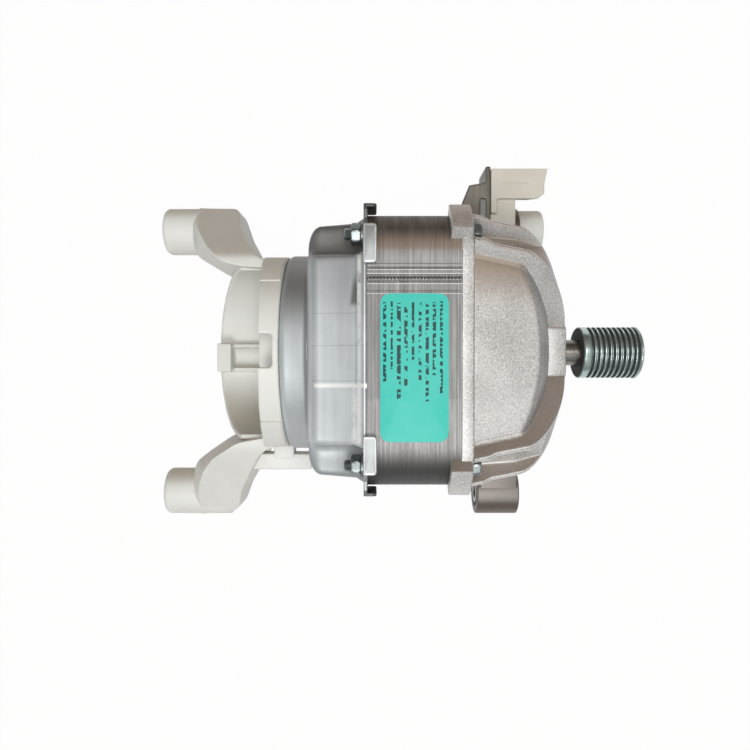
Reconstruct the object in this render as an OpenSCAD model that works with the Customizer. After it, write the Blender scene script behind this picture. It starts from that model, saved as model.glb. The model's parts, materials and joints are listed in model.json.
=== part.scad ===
// Belt-drive brushless motor of a washing machine, lying on its four mounting tubes.
// Millimetres. X runs along the shaft towards the pulley, Z is up, and the origin is
// on the shaft axis at the middle of the belt ribs.

/* [Pulley] */
// Number of belt ribs
rib_count = 9; // [6:1:12]
// Pitch of the belt ribs
rib_pitch = 2.34; // [2:0.02:3.56]
// Depth of the belt grooves
groove_depth = 1.75; // [1:0.05:2.2]
// Outer diameter over the ribs
pulley_d = 23.8; // [20:0.2:40]
// Width of the end lip
lip_w = 2.1; // [1:0.1:4]
// Width of the plain collar behind the ribs
collar_w = 4.1; // [2:0.1:8]

/* [Shaft and bearings] */
// Diameter of the shaft in the rotor
shaft_d = 17; // [16:0.5:20]
// Diameter of the shaft in the pulley
nose_d = 12; // [10:0.5:13]
// Bore diameter of both bearings
bearing_bore = 15; // [14:0.5:15.5]
// Outer diameter of both bearings
bearing_od = 35; // [34:0.5:38]
// Width of both bearings
bearing_w = 11; // [9:0.5:12]
// Diameter of the bearing balls
ball_d = 5.95; // [5:0.05:6.2]
// Number of balls in each bearing
ball_count = 8; // [6:1:9]
// Thickness of the wave washer
wave_t = 0.8; // [0.5:0.1:1]

/* [Stator] */
// Half the width across the flats of the lamination stack
stack_half = 55.2; // [53:0.1:60]
// Corner radius of the lamination stack
stack_corner_r = 19.5; // [16:0.5:22]
// Length of the lamination stack
stack_len = 36.5; // [30:0.5:50]
// Number of stator teeth
tooth_count = 12; // [9:3:12]
// Width of a stator tooth
tooth_w = 7.5; // [6:0.1:8]
// Radial thickness of the tooth tips
tip_t = 2.2; // [1.5:0.1:3]
// Width of the slot mouths
slot_mouth = 2.6; // [2:0.1:4]
// Thickness of the stack behind the slots, at the middle of a side
back_iron = 10.6; // [10.4:0.1:13]
// Thickness of the slot insulators
insulator_t = 1.5; // [1:0.1:2.5]
// Height of the insulators' walls
insulator_h = 9; // [6:0.5:10]
// Thickness of a coil beside its tooth
coil_w = 4.2; // [3:0.1:4.4]
// Thickness of a coil over the tooth end
coil_over = 7.5; // [5:0.5:9]
// Depth of the grooves on the outside of the stack
weld_groove_d = 1; // [0.5:0.1:2]

/* [Rotor] */
// Distance from the side of the stack to the rotor's surface
stator_depth = 24.9; // [24.5:0.1:27]
// Air gap between the magnets and the teeth
air_gap = 0.9; // [0.6:0.05:1.2]
// Thickness of the magnets
magnet_t = 3.6; // [2.5:0.1:5]
// Number of magnets
magnet_count = 8; // [4:2:10]
// Thickness of the rotor end rings
end_ring_t = 2; // [1:0.5:4]
// Radial thickness of the sensor magnet
sensor_magnet_t = 9; // [6:0.5:10]
// Length of the sensor magnet
sensor_magnet_len = 6; // [4:0.5:7]
// Thickness of the sensor board
board_t = 1.6; // [1:0.1:2]
// Thickness of the hall sensors
hall_t = 1.6; // [1:0.1:2]
// Width of the hall sensors
hall_w = 4; // [3:0.1:5]
// Height of the hall sensors
hall_h = 3; // [2.5:0.1:4]
// Axial gap between the hall sensors and their magnet
hall_gap = 1.1; // [0.6:0.1:1.5]

/* [Front bell] */
// Distance from the belt collar to the hub face
hub_gap = 11.9; // [8:0.1:16]
// Length of the bell in front of its flange
bell_len = 44.4; // [42:0.1:50]
// Thickness of the bell's flange
flange_t = 4.9; // [4:0.1:8]
// How far the bell's flat panels stand in from the stack, at the flange
panel_inset = 4.2; // [2:0.1:4.6]
// Draft angle of the flat panels
bell_draft = 10.5; // [6:0.5:11]
// Wall thickness of the bell
bell_wall = 3.6; // [3:0.1:3.8]
// How far the bell's corners lie below the arms, at the flange
corner_drop = 4.9; // [3.4:0.1:6]
// How far the bell's corners fall from the flange to the shoulder
corner_fall = 5.1; // [3.5:0.1:6.5]
// Distance from the flange to the shoulder of the panels
bell_shoulder_x = 19; // [16:0.5:21]
// Half width across the flats of the hub
hub_half = 24.2; // [23:0.1:27]
// Thickness of the hub wall in front of the bearing
hub_wall = 2.5; // [2:0.1:4]
// Radius of the shaft hole in the hub
hub_hole_r = 9.5; // [8.5:0.1:12]
// Thickness of each diagonal arm
arm_w = 18.8; // [17:0.2:20]
// Width of the channel in each diagonal arm
channel_w = 14; // [12:0.2:15]
// How far the arms reach out beyond the tie bolts
arm_over = 3.35; // [2.5:0.05:5]
// How far the arms fall from the flange to the shoulder
arm_fall = 5.3; // [3:0.1:7]
// How far the corner ears reach over the stack
ear_len = 4.3; // [3:0.1:8]
// Thickness of the corner ears round the stack corners
ear_t = 5; // [4:0.1:6]
// Width of each corner ear across the diagonal
ear_w = 28; // [24:0.5:32]

/* [Rear cover] */
// Sheet thickness of the rear cover
sheet_t = 1.5; // [1:0.1:1.8]
// Depth of the cover's lobes
lobe_depth = 23; // [20:0.5:30]
// How far the cover's lobes stand in from the sides of the stack
lobe_inset = 2.4; // [1.2:0.1:4]
// Distance from the sides of the lobes to the tie bolts
lobe_clear = 8.4; // [7:0.1:11]
// Radius of the valleys between lobes
valley_r = 6; // [4:0.5:7]
// Radius of the shoulder on each lobe
shoulder_r = 6.8; // [4:0.2:8]
// Radius of the flare where a lobe meets its flange
flare_r = 2; // [1:0.1:2.2]
// How far the round end of the cover stands in from the lobes
ring_inset = 8.3; // [7.3:0.1:11]
// Length of the round end of the cover
cover_ring_len = 11.5; // [9:0.5:16]
// Distance of the folded tabs' middle from the tie bolts
tab_inset = 5.5; // [4:0.1:8]
// Width of the folded tabs
tab_w = 15; // [10:0.5:16]
// Length of the folded tabs
tab_len = 5.2; // [4:0.1:8]

/* [Fasteners] */
// Diameter of the tie bolts
bolt_d = 5; // [4:0.5:6]
// Width across flats of the bolt heads and nuts
bolt_af = 8; // [7:0.5:9]
// Distance of the tie bolts from the sides of the stack
bolt_inset = 9.2; // [8.8:0.1:10]
// Height of the bolt heads
bolt_head_h = 3.6; // [3:0.1:5]
// Height of the nuts
nut_h = 4; // [3:0.1:5]
// Thickness of the washers under the nuts
washer_t = 1; // [0.6:0.1:1.6]
// Length of thread that stands out behind the nuts
stud_out = 2.8; // [1:0.1:6]

/* [Mounting tubes] */
// Distance between the two mounting axes
mount_spacing = 140; // [134:0.5:150]
// Sideways offset of the mounting axes from the shaft
mount_offset = -4; // [-6:0.5:0]
// Depth of the mounting axes below the shaft
mount_drop = 46.8; // [46.5:0.1:52]
// Outer radius of the mounting tubes
tube_r = 12.2; // [11.5:0.1:14]
// Radius of the mounting bolt holes
mount_hole_r = 4.25; // [3.5:0.05:5]
// Wall of the steel sleeves
sleeve_wall = 1.95; // [1.2:0.05:2.2]
// Thickness of the rubber round the front sleeves
rubber_t = 1.95; // [1.5:0.05:2.5]
// Length of the two front lugs
lug_len = 22; // [18:0.5:24]
// Distance from the bell's flange to the front lugs
lug_x = 15.6; // [13:0.1:17]
// Length of the plastic spacer on the upper lug
spacer_len = 13; // [8:0.5:20]

/* [Rear bracket] */
// Thickness of the bracket's disc
disc_t = 2.6; // [2:0.1:4]
// Outer radius of the bracket's ring
bracket_r = 44; // [42:0.1:45]
// Wall of the bracket's ring
band_t = 5.6; // [4:0.1:6]
// Length of the ring on the near side
band_near = 8.4; // [6:0.1:10]
// Length of the ring at the height of the shaft
band_mid = 12; // [9:0.1:14]
// Width of the notch in the ring
notch_w = 13.6; // [10:0.2:18]
// Outer radius of the scoop behind the ring
scoop_r = 40.5; // [39:0.1:41.5]
// Wall of the scoop
scoop_t = 2.3; // [1.6:0.1:3]
// Length of the scoop along its far side
scoop_len = 43.4; // [36:0.2:48]
// How much shorter the scoop is at its open edges
scoop_cut = 18.8; // [12:0.2:22]
// Distance from the bracket's face to the ends of the bosses
boss_end = 72.6; // [66:0.2:78]
// Length of each boss tube
boss_len = 18.4; // [14:0.2:24]
// Length of the thick block in front of each boss
block_len = 16; // [12:0.5:18]
// Thickness of the rubber ring between cover and bracket
cushion_t = 3.9; // [2.5:0.1:4.5]
// Wall of the hub round the rubber ring
bracket_hub_t = 3; // [2:0.1:4]
// Diameter of the bracket screws
screw_d = 4; // [3:0.5:4.5]
// Height of the bracket screws' heads
screw_head_h = 2.4; // [1.8:0.1:3.2]
// Length of the bracket screws inside the cover
screw_reach = 6; // [4:0.5:8]

/* [Connector and label] */
// Height of the connector's top above the shaft axis, along Y
connector_top = 88; // [84:0.5:94]
// Height of the connector body along Y
connector_h = 15.5; // [13:0.5:18]
// Length of the connector body
connector_len = 24.4; // [20:0.2:30]
// Width of the connector body along Z
connector_w = 22; // [20.5:0.5:26]
// Wall of the connector body
connector_wall = 1.8; // [1.2:0.1:2.2]
// Depth of the connector's socket
socket_depth = 19; // [14:0.5:20]
// Number of blades in the socket
blade_count = 5; // [3:1:6]
// Length of the bell's pad under the connector's bracket
pad_len = 14; // [12:0.5:18]
// Width of the pad and of the connector's bracket
pad_w = 20; // [16:0.5:24]
// Height of the pad over the bell's flat panel
pad_h = 3; // [2:0.1:4]
// Distance from the flange to the connector's bracket plate
plate_x = 14; // [12:0.5:17]
// Thickness of the connector's bracket
plate_t = 2.3; // [1.5:0.1:3]
// Length of the label along Y
label_len = 57.1; // [40:0.1:58]
// Width of the label along X
label_w = 26.4; // [20:0.1:30]
// Distance of the label's upper edge from the shaft axis, along Y
label_top = 21.6; // [10:0.1:28]
// Gap between the label and the rear end of the stack
label_gap = 5; // [2:0.5:8]
// Corner radius of the label
label_r = 4.2; // [1:0.1:6]
// Thickness of the label
label_t = 0.15; // [0.1:0.05:0.3]

/* [Fits] */
// Clearance of parts that seat in or on each other
seat_gap = 0.05; // [0.02:0.01:0.1]
// Clearance of parts that turn past each other
run_gap = 0.05; // [0.03:0.01:0.08]
// Clearance of bolts in their holes
bolt_gap = 0.2; // [0.1:0.05:0.4]

/* [Hidden] */
$fn = 72;
eps = 0.01;
cut = 1;

// Stations along the shaft
pulley_front = rib_count * rib_pitch / 2 + lip_w;
ribs_rear = -rib_count * rib_pitch / 2;
pulley_rear = ribs_rear - collar_w;
hub_x = pulley_rear - hub_gap;
flange_front = hub_x - bell_len;
stack_front = flange_front - flange_t;
stack_rear = stack_front - stack_len;
stack_mid = (stack_front + stack_rear) / 2;
plate_rear = stack_rear - sheet_t;
lobe_end = plate_rear - lobe_depth;
cover_end = lobe_end - cover_ring_len;
front_bearing_x = hub_x - hub_wall - bearing_w / 2;
rear_bearing_front = cover_end + sheet_t;
rear_bearing_x = rear_bearing_front - bearing_w / 2;
cup_depth = bearing_w + wave_t + 4 * seat_gap;
cup_inner_end = rear_bearing_front - cup_depth;
cup_end = cup_inner_end - sheet_t;
bracket_x = cover_end;

// Radii of the stator and rotor
rotor_r = stack_half - stator_depth;
bore_r = rotor_r + air_gap;
tip_r = bore_r + tip_t;
slot_r = stack_half - back_iron;
core_r = rotor_r - magnet_t - seat_gap;
coil_window = tooth_w + 1;
coil_half = coil_window / 2 + coil_w;
coil_r0 = tip_r + 0.6;
coil_r1 = sqrt(slot_r * slot_r - coil_half * coil_half) - 0.4;
bolt_pos = stack_half - bolt_inset;
corner_centre = stack_half - stack_corner_r;
// Length that cuts right through the motor from side to side
cut_span = 4 * stack_half;

// Outlines that follow the stack and its bolts
bell_half = stack_half - panel_inset;
arm_r = bolt_pos * sqrt(2) + arm_over;
bell_corner_r = arm_r - corner_drop;
bell_shoulder_r = bell_corner_r - corner_fall;
lobe_half = stack_half - lobe_inset;
lobe_w = bolt_pos - lobe_clear;
cover_ring_r = lobe_half - ring_inset;
tab_mid = bolt_pos - tab_inset;

// Bearing rings
ball_pitch_r = (bearing_od + bearing_bore) / 4;
race_r = ball_d / 2 + run_gap;
land_gap = ball_d * 0.36;
cup_r = bearing_od / 2 + seat_gap;
cup_out_r = cup_r + sheet_t;
cushion_r0 = cup_out_r + seat_gap;
cushion_r1 = cushion_r0 + cushion_t;
bracket_hub_r = cushion_r1 + seat_gap;
screw_circle_r = (bracket_hub_r + bracket_hub_t + bracket_r - band_t) / 2;

// Mounting axes
sleeve_r = mount_hole_r + sleeve_wall;
bush_r = sleeve_r + seat_gap + rubber_t;
mount_ys = [mount_offset + mount_spacing / 2, mount_offset - mount_spacing / 2];
lug_rear = flange_front + lug_x;
lug_front = lug_rear + lug_len;
boss_rear = bracket_x - boss_end;
block_rear = boss_rear + boss_len;
block_front = block_rear + block_len;

// Connector stations
connector_z = -13;
pad_y = bell_half + pad_h;
plate_rear_x = flange_front + plate_x;
plate_front_x = plate_rear_x + plate_t;
pad_x0 = flange_front + 2.6;
screw_x = pad_x0 + 5.5;
body_x0 = plate_front_x + 2.9;
body_x1 = body_x0 + connector_len;
body_y0 = connector_top - connector_h;
neck_y0 = body_y0 - 11.7;

// Helpers

// Turns a profile of [radius, x] points about the shaft axis.
module turned(points) {
    rotate([90, 0, 90]) rotate_extrude() polygon(points);
}

// Extrudes a shape drawn in Y and Z from x0 to x1.
module across(x0, x1) {
    translate([x0, 0, 0]) rotate([90, 0, 90]) linear_extrude(x1 - x0) children();
}

// A ring about the shaft axis.
module ring(r_in, r_out, x0, x1) {
    turned([[r_in, x0], [r_out, x0], [r_out, x1], [r_in, x1]]);
}

// A plain cylinder along X.
module bar_x(r, x0, x1, y = 0, z = 0) {
    translate([x0, y, z]) rotate([0, 90, 0]) cylinder(r = r, h = x1 - x0);
}

// A square with rounded corners, drawn about the origin.
module round_square(half_w, half_h, r) {
    square([2 * half_w, 2 * (half_h - r)], center = true);
    square([2 * (half_w - r), 2 * half_h], center = true);
    for (sx = [-1, 1], sy = [-1, 1])
        translate([sx * (half_w - r), sy * (half_h - r)]) circle(r);
}

// Copies its children round the shaft axis.
module around(count, start = 0) {
    for (i = [0 : count - 1]) rotate([start + i * 360 / count, 0, 0]) children();
}

// Copies its children to the four tie bolts.
module at_bolts() {
    for (sy = [-1, 1], sz = [-1, 1]) translate([0, sy * bolt_pos, sz * bolt_pos]) children();
}

// A point on a curve with three control points.
function bend(a, b, c, t) = (1 - t) * (1 - t) * a + 2 * t * (1 - t) * b + t * t * c;

// Points of a dome's shoulder from [r0, x0] to [r1, x1]; a larger power is flatter.
function dome_curve(x0, r0, x1, r1, power, steps = 14) =
    [for (i = [0 : steps]) let (a = 90 * i / steps)
        [r1 + (r0 - r1) * pow(cos(a), power), x0 + (x1 - x0) * pow(sin(a), power)]];

// Stator

module stack_outline(grow = 0) {
    round_square(stack_half + grow, stack_half + grow, stack_corner_r + grow);
}

module teeth(width, r0, r1) {
    for (i = [0 : tooth_count - 1]) rotate(i * 360 / tooth_count)
        translate([r0, -width / 2]) square([r1 - r0, width]);
}

// Two weld grooves and a weld seam on each side of the stack.
module weld_grooves() {
    for (a = [0 : 90 : 270]) rotate(a) {
        for (g = [[21.8, 1.1], [25.6, 3.4], [31, 1.5]])
            translate([g[0], stack_half - weld_groove_d]) square([g[1], weld_groove_d + cut]);
    }
}

module stator_core() {
    color([0.47, 0.45, 0.44]) difference() {
        across(stack_rear, stack_front) {
            difference() {
                stack_outline();
                circle(slot_r);
                weld_grooves();
            }
            teeth(tooth_w, tip_r - 0.4, slot_r + 0.5);
            difference() {
                circle(tip_r);
                circle(bore_r);
                for (i = [0 : tooth_count - 1]) rotate((i + 0.5) * 360 / tooth_count)
                    translate([0, -slot_mouth / 2]) square([tip_r + cut, slot_mouth]);
            }
        }
        at_bolts() bar_x(bolt_d / 2 + bolt_gap, stack_rear - cut, stack_front + cut);
    }
}

// An end frame that keeps the coils off the stack, with walls on the side of direction dir.
module insulator(x_face, dir) {
    base = x_face + dir * insulator_t;
    top = x_face + dir * insulator_h;
    across(min(x_face, base), max(x_face, base)) {
        difference() {
            circle(tip_r - 0.2);
            circle(bore_r + 0.4);
        }
        teeth(tooth_w + 0.4, tip_r - 0.6, slot_r + 0.6);
        difference() {
            circle(slot_r + 1.3);
            circle(slot_r + 0.3);
        }
    }
    ring(bore_r + 0.4, tip_r - 0.2, min(x_face, top), max(x_face, top));
    ring(slot_r + 0.3, slot_r + 1.3, min(x_face, top), max(x_face, top));
}

module front_insulator() {
    color([0.93, 0.92, 0.88]) insulator(stack_front, 1);
}

module rear_insulator() {
    color([0.93, 0.92, 0.88]) insulator(stack_rear, -1);
}

module windings() {
    half_window = stack_len / 2 + insulator_t + 0.1;
    half_coil = half_window + coil_over;
    color([0.72, 0.4, 0.2]) around(tooth_count, 0)
        translate([stack_mid, coil_r0, 0]) rotate([-90, 0, 0]) linear_extrude(coil_r1 - coil_r0)
            difference() {
                round_square(half_coil, coil_half, 3);
                square([2 * half_window, coil_window], center = true);
            }
}

// Rotor

module rotor_core() {
    color([0.5, 0.5, 0.52]) difference() {
        ring(shaft_d / 2 + seat_gap, core_r, stack_rear, stack_front);
        around(6) bar_x(3.5, stack_rear - cut, stack_front + cut, 0, core_r * 0.66);
    }
}

module rotor_magnets() {
    color([0.22, 0.22, 0.24]) across(stack_rear, stack_front) difference() {
        circle(rotor_r);
        circle(core_r + seat_gap);
        for (i = [0 : magnet_count / 2 - 1]) rotate((i + 0.5) * 360 / magnet_count)
            square([3 * rotor_r, 2.4], center = true);
    }
}

module rotor_end_rings() {
    color([0.78, 0.78, 0.8]) {
        ring(shaft_d / 2 + seat_gap, rotor_r - 0.3, stack_front, stack_front + end_ring_t);
        ring(shaft_d / 2 + seat_gap, rotor_r - 0.3, stack_rear - end_ring_t, stack_rear);
    }
}

module shaft() {
    r0 = bearing_bore / 2 - seat_gap;
    rear = cup_inner_end + 0.5;
    nose = pulley_front - 1.6;
    front_step = front_bearing_x - bearing_w / 2;
    front_seat = front_bearing_x + bearing_w / 2;
    color([0.55, 0.56, 0.57]) turned([
        [0, rear], [r0 - 0.8, rear], [r0, rear + 0.8],
        [r0, rear_bearing_front], [shaft_d / 2, rear_bearing_front],
        [shaft_d / 2, front_step], [r0, front_step],
        [r0, front_seat], [nose_d / 2, front_seat + 0.5],
        [nose_d / 2, nose - 1], [nose_d / 2 - 1, nose], [0, nose]]);
}

module drive_pulley() {
    r = pulley_d / 2;
    seat = nose_d / 2 + seat_gap;
    ribs = [for (i = [0 : rib_count - 1]) let (x = ribs_rear + (i + 0.5) * rib_pitch)
        each [[r - groove_depth, x - rib_pitch / 2 + 0.2], [r, x - 0.35],
              [r, x + 0.35], [r - groove_depth, x + rib_pitch / 2 - 0.2]]];
    color([0.36, 0.42, 0.42]) turned(concat(
        [[seat, pulley_rear], [r - 1.5, pulley_rear], [r - 0.7, pulley_rear + 0.8],
         [r - 0.7, ribs_rear - 0.8]], ribs,
        [[r - 0.2, pulley_front - lip_w + 0.5], [r + 0.2, pulley_front - lip_w + 1],
         [r + 0.2, pulley_front - 0.6], [r - 0.4, pulley_front], [nose_d / 2 + 3, pulley_front],
         [nose_d / 2 + 2.6, pulley_front - 2], [seat, pulley_front - 2]]));
}

// A lip seal that turns with the shaft inside the hub's hole.
module dust_seal() {
    seat = nose_d / 2 + seat_gap;
    x0 = hub_x - hub_wall + 0.8;
    color([0.08, 0.08, 0.09]) turned([
        [seat, x0], [hub_hole_r - 1, x0], [hub_hole_r - 1.6, hub_x - 0.4],
        [hub_hole_r - 0.6, hub_x + 1.2], [hub_hole_r - 1.4, hub_x + 1.4],
        [nose_d / 2 + 1, hub_x + 0.6], [nose_d / 2 + 1, hub_x + 2.4], [seat, hub_x + 2.4]]);
}

// Bearings

module bearing_outer(x) {
    color([0.72, 0.73, 0.75]) rotate([90, 0, 90]) translate([0, 0, x]) rotate_extrude() difference() {
        translate([ball_pitch_r + land_gap, -bearing_w / 2])
            square([bearing_od / 2 - ball_pitch_r - land_gap, bearing_w]);
        translate([ball_pitch_r, 0]) circle(race_r);
    }
}

module bearing_inner(x) {
    color([0.72, 0.73, 0.75]) rotate([90, 0, 90]) translate([0, 0, x]) rotate_extrude() difference() {
        translate([bearing_bore / 2, -bearing_w / 2])
            square([ball_pitch_r - land_gap - bearing_bore / 2, bearing_w]);
        translate([ball_pitch_r, 0]) circle(race_r);
    }
}

module bearing_shields(x) {
    half = bearing_w / 2;
    r_in = ball_pitch_r - land_gap + 0.4;
    r_out = ball_pitch_r + land_gap - seat_gap;
    color([0.25, 0.25, 0.27]) {
        ring(r_in, r_out, x - half + 0.3, x - half + 0.7);
        ring(r_in, r_out, x + half - 0.7, x + half - 0.3);
    }
}

module bearing_balls(x) {
    color([0.8, 0.81, 0.83]) around(ball_count) translate([x, 0, ball_pitch_r]) sphere(d = ball_d);
}

module bearing_cage(x) {
    r = ball_d / 2;
    color([0.8, 0.66, 0.32]) difference() {
        ring(ball_pitch_r - 1, ball_pitch_r + 1, x - r * 0.5, x + r + 1.1);
        around(ball_count) translate([x, 0, ball_pitch_r]) sphere(r = r + run_gap);
    }
}

module front_bearing_outer_ring() { bearing_outer(front_bearing_x); }
module front_bearing_inner_ring() { bearing_inner(front_bearing_x); }
module front_bearing_shields() { bearing_shields(front_bearing_x); }
module front_bearing_balls() { bearing_balls(front_bearing_x); }
module front_bearing_cage() { bearing_cage(front_bearing_x); }
module rear_bearing_outer_ring() { bearing_outer(rear_bearing_x); }
module rear_bearing_inner_ring() { bearing_inner(rear_bearing_x); }
module rear_bearing_shields() { bearing_shields(rear_bearing_x); }
module rear_bearing_balls() { bearing_balls(rear_bearing_x); }
module rear_bearing_cage() { bearing_cage(rear_bearing_x); }

module wave_washer() {
    x1 = rear_bearing_x - bearing_w / 2;
    color([0.6, 0.6, 0.62]) ring(bearing_od / 2 - 3.2, bearing_od / 2 - 0.2, x1 - wave_t, x1);
}

// Rotor position sensing

module sensor_magnet() {
    x0 = board_x + board_t + hall_t + hall_gap;
    color([0.2, 0.2, 0.22])
        ring(shaft_d / 2 + seat_gap, shaft_d / 2 + sensor_magnet_t, x0, x0 + sensor_magnet_len);
}

board_x = lobe_end + sheet_t;

module sensor_board() {
    color([0.1, 0.42, 0.2]) ring(shaft_d / 2 + 4, cover_ring_r + 1, board_x, board_x + board_t);
}

module hall_sensors() {
    color([0.1, 0.1, 0.11]) around(3, 30)
        translate([board_x + board_t, -hall_w / 2, shaft_d / 2 + sensor_magnet_t / 2])
            cube([hall_t, hall_w, hall_h]);
}

// Front bell

// The round-cornered shape of the bell, as a solid of turning.
module bell_turned(r_flange, r_shoulder, x_shoulder, r_end, x_end, power, x_start) {
    turned(concat([[0, x_start], [r_flange, x_start], [r_flange, flange_front]],
        dome_curve(x_shoulder, r_shoulder, x_end, r_end, power), [[0, x_end]]));
}

// The square tapering prism that gives the bell its four flat panels.
module bell_panels(half) {
    fall = tan(bell_draft);
    x0 = stack_front - cut;
    x1 = hub_x + cut;
    h0 = half + (flange_front - x0) * fall;
    h1 = half - (x1 - flange_front) * fall;
    side = [[x0, -h0], [x1, -h1], [x1, h1], [x0, h0]];
    intersection() {
        rotate([90, 0, 0]) linear_extrude(cut_span, center = true) polygon(side);
        linear_extrude(cut_span, center = true) polygon(side);
    }
}

channel_floor_r = bolt_pos * sqrt(2) - bolt_af * 0.5 - 1.6;
cavity_r = channel_floor_r - bell_wall;
shoulder_x = flange_front + bell_shoulder_x;
bearing_seat_x = front_bearing_x - bearing_w / 2;

module bell_body() {
    intersection() {
        bell_turned(bell_corner_r, bell_shoulder_r, shoulder_x, hub_half - 3, hub_x - 7, 1.54, stack_front);
        bell_panels(bell_half);
    }
    across(flange_front, hub_x) rotate(22.5) circle(r = hub_half / cos(22.5), $fn = 8);
}

module bell_cavity() {
    intersection() {
        bell_turned(cavity_r, cavity_r - 2, shoulder_x - 1, bearing_od / 2 + 1, bearing_seat_x, 1.54,
            stack_front - cut);
        bell_panels(bell_half - bell_wall);
    }
}

// One diagonal arm, drawn upright and later turned to its corner.
module bell_arm() {
    rotate([90, 0, 0]) linear_extrude(arm_w, center = true) polygon(concat(
        [[stack_front, 0], [stack_front, arm_r], [flange_front, arm_r]],
        [for (p = dome_curve(shoulder_x + 1.5, arm_r - arm_fall, hub_x, hub_half - 4, 1.3)) [p[1], p[0]]],
        [[hub_x, 0]]));
}

module arm_channel() {
    rotate([90, 0, 0]) linear_extrude(channel_w, center = true) polygon([
        [flange_front - cut, channel_floor_r], [flange_front, channel_floor_r],
        [shoulder_x, channel_floor_r - 1.8], [shoulder_x + 14, channel_floor_r - 6.2],
        [shoulder_x + 16.8, arm_r + 0.8], [flange_front - cut, arm_r + 0.8]]);
}

module corner_strip() {
    for (a = [45, -45]) rotate(a) square([4 * stack_half, ear_w / sqrt(2)], center = true);
}

module ear_outline() {
    intersection() {
        for (sy = [-1, 1], sz = [-1, 1])
            translate([sy * corner_centre, sz * corner_centre]) circle(stack_corner_r + ear_t);
        corner_strip();
    }
}

// The flange with its raised corners, and the ears that wrap the stack's corners.
module bell_flange() {
    across(stack_front, flange_front) {
        stack_outline();
        intersection() {
            stack_outline(1);
            for (sy = [-1, 1], sz = [-1, 1])
                translate([sy * 2 * stack_half, sz * 2 * stack_half])
                    square(2 * (2 * stack_half - corner_centre + 0.8), center = true);
        }
        ear_outline();
    }
    across(stack_front - ear_len, stack_front) difference() {
        ear_outline();
        stack_outline(seat_gap);
    }
}

// One mounting lug and the web that joins it to the bell.
module lug(y) {
    side = sign(y);
    bar_x(tube_r, lug_rear, lug_front, y, -mount_drop);
    across(lug_rear + 1, lug_front - 1) polygon([
        [y, -mount_drop - tube_r + 0.4], [y, -mount_drop + tube_r - 0.4],
        [side * (bolt_pos - 4), -bolt_pos + 14], [side * (bolt_pos - 10), -bolt_pos - 2]]);
}

module front_bell() {
    color([0.78, 0.77, 0.76]) difference() {
        union() {
            difference() {
                union() {
                    bell_body();
                    for (a = [45 : 90 : 315]) rotate([a, 0, 0]) bell_arm();
                    for (y = mount_ys) lug(y);
                }
                for (a = [45 : 90 : 315]) rotate([a, 0, 0]) arm_channel();
            }
            bell_flange();
            translate([pad_x0, bell_half - 6, connector_z - pad_w / 2]) cube([pad_len, pad_y - bell_half + 6, pad_w]);
        }
        bell_cavity();
        bar_x(bearing_od / 2 + seat_gap, bearing_seat_x - cut, hub_x - hub_wall);
        bar_x(hub_hole_r, bearing_seat_x - cut, hub_x + cut);
        at_bolts() bar_x(bolt_d / 2 + bolt_gap, stack_front - cut, flange_front + cut);
        for (y = mount_ys) bar_x(bush_r + seat_gap, lug_rear - cut, lug_front + cut, y, -mount_drop);
        translate([screw_x, pad_y + cut, connector_z]) rotate([90, 0, 0]) cylinder(d = screw_d, h = 7);
    }
}

// Rear cover

// One lobe pair of the cover, standing up and down; its profile has the shoulder and flare.
module lobe_pair(half, width, r_shoulder, x_end, x_open) {
    shoulder = [for (a = [0 : 15 : 90])
        [x_end + r_shoulder * (1 - cos(a)), half - r_shoulder * (1 - sin(a))]];
    flare = [for (a = [0 : 30 : 90]) [plate_rear - flare_r * cos(a), half + flare_r * (1 - cos(a))]];
    upper = concat(shoulder, flare, [[x_open, half + flare_r]]);
    lower = [for (i = [len(upper) - 1 : -1 : 0]) [upper[i][0], -upper[i][1]]];
    rotate([90, 0, 0]) linear_extrude(2 * width, center = true) polygon(concat(upper, lower));
}

// Both lobe pairs, with the valleys between them rounded out.
module lobes(half, width, r_valley, r_shoulder, x_end, x_open) {
    lobe_pair(half, width, r_shoulder, x_end, x_open);
    rotate([90, 0, 0]) lobe_pair(half, width, r_shoulder, x_end, x_open);
    centre = lobe_w + valley_r;
    corner = width - cut;
    across(x_end + r_shoulder * 0.4, x_open) for (a = [0 : 90 : 270]) rotate(a) polygon(concat(
        [[corner, corner], [corner, centre]],
        [for (b = [180 : 10 : 270]) [centre + r_valley * cos(b), centre + r_valley * sin(b)]],
        [[centre, corner]]));
}

module cover_ring(r, x0, x1, r_edge) {
    turned(concat([[0, x0]],
        [for (a = [0 : 15 : 90]) [r - r_edge * (1 - sin(a)), x0 + r_edge * (1 - cos(a))]],
        [[r, x1], [0, x1]]));
}

module cover_tabs() {
    tab_z = stack_half + 2 * seat_gap;
    for (a = [0 : 90 : 270], s = [-1, 1]) rotate([a, 0, 0]) {
        translate([plate_rear, s * tab_mid - tab_w / 2, tab_z]) cube([tab_len, tab_w, sheet_t]);
        translate([plate_rear, s * tab_mid - tab_w / 2, corner_centre])
            cube([sheet_t, tab_w, tab_z + sheet_t - corner_centre]);
    }
}

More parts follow.
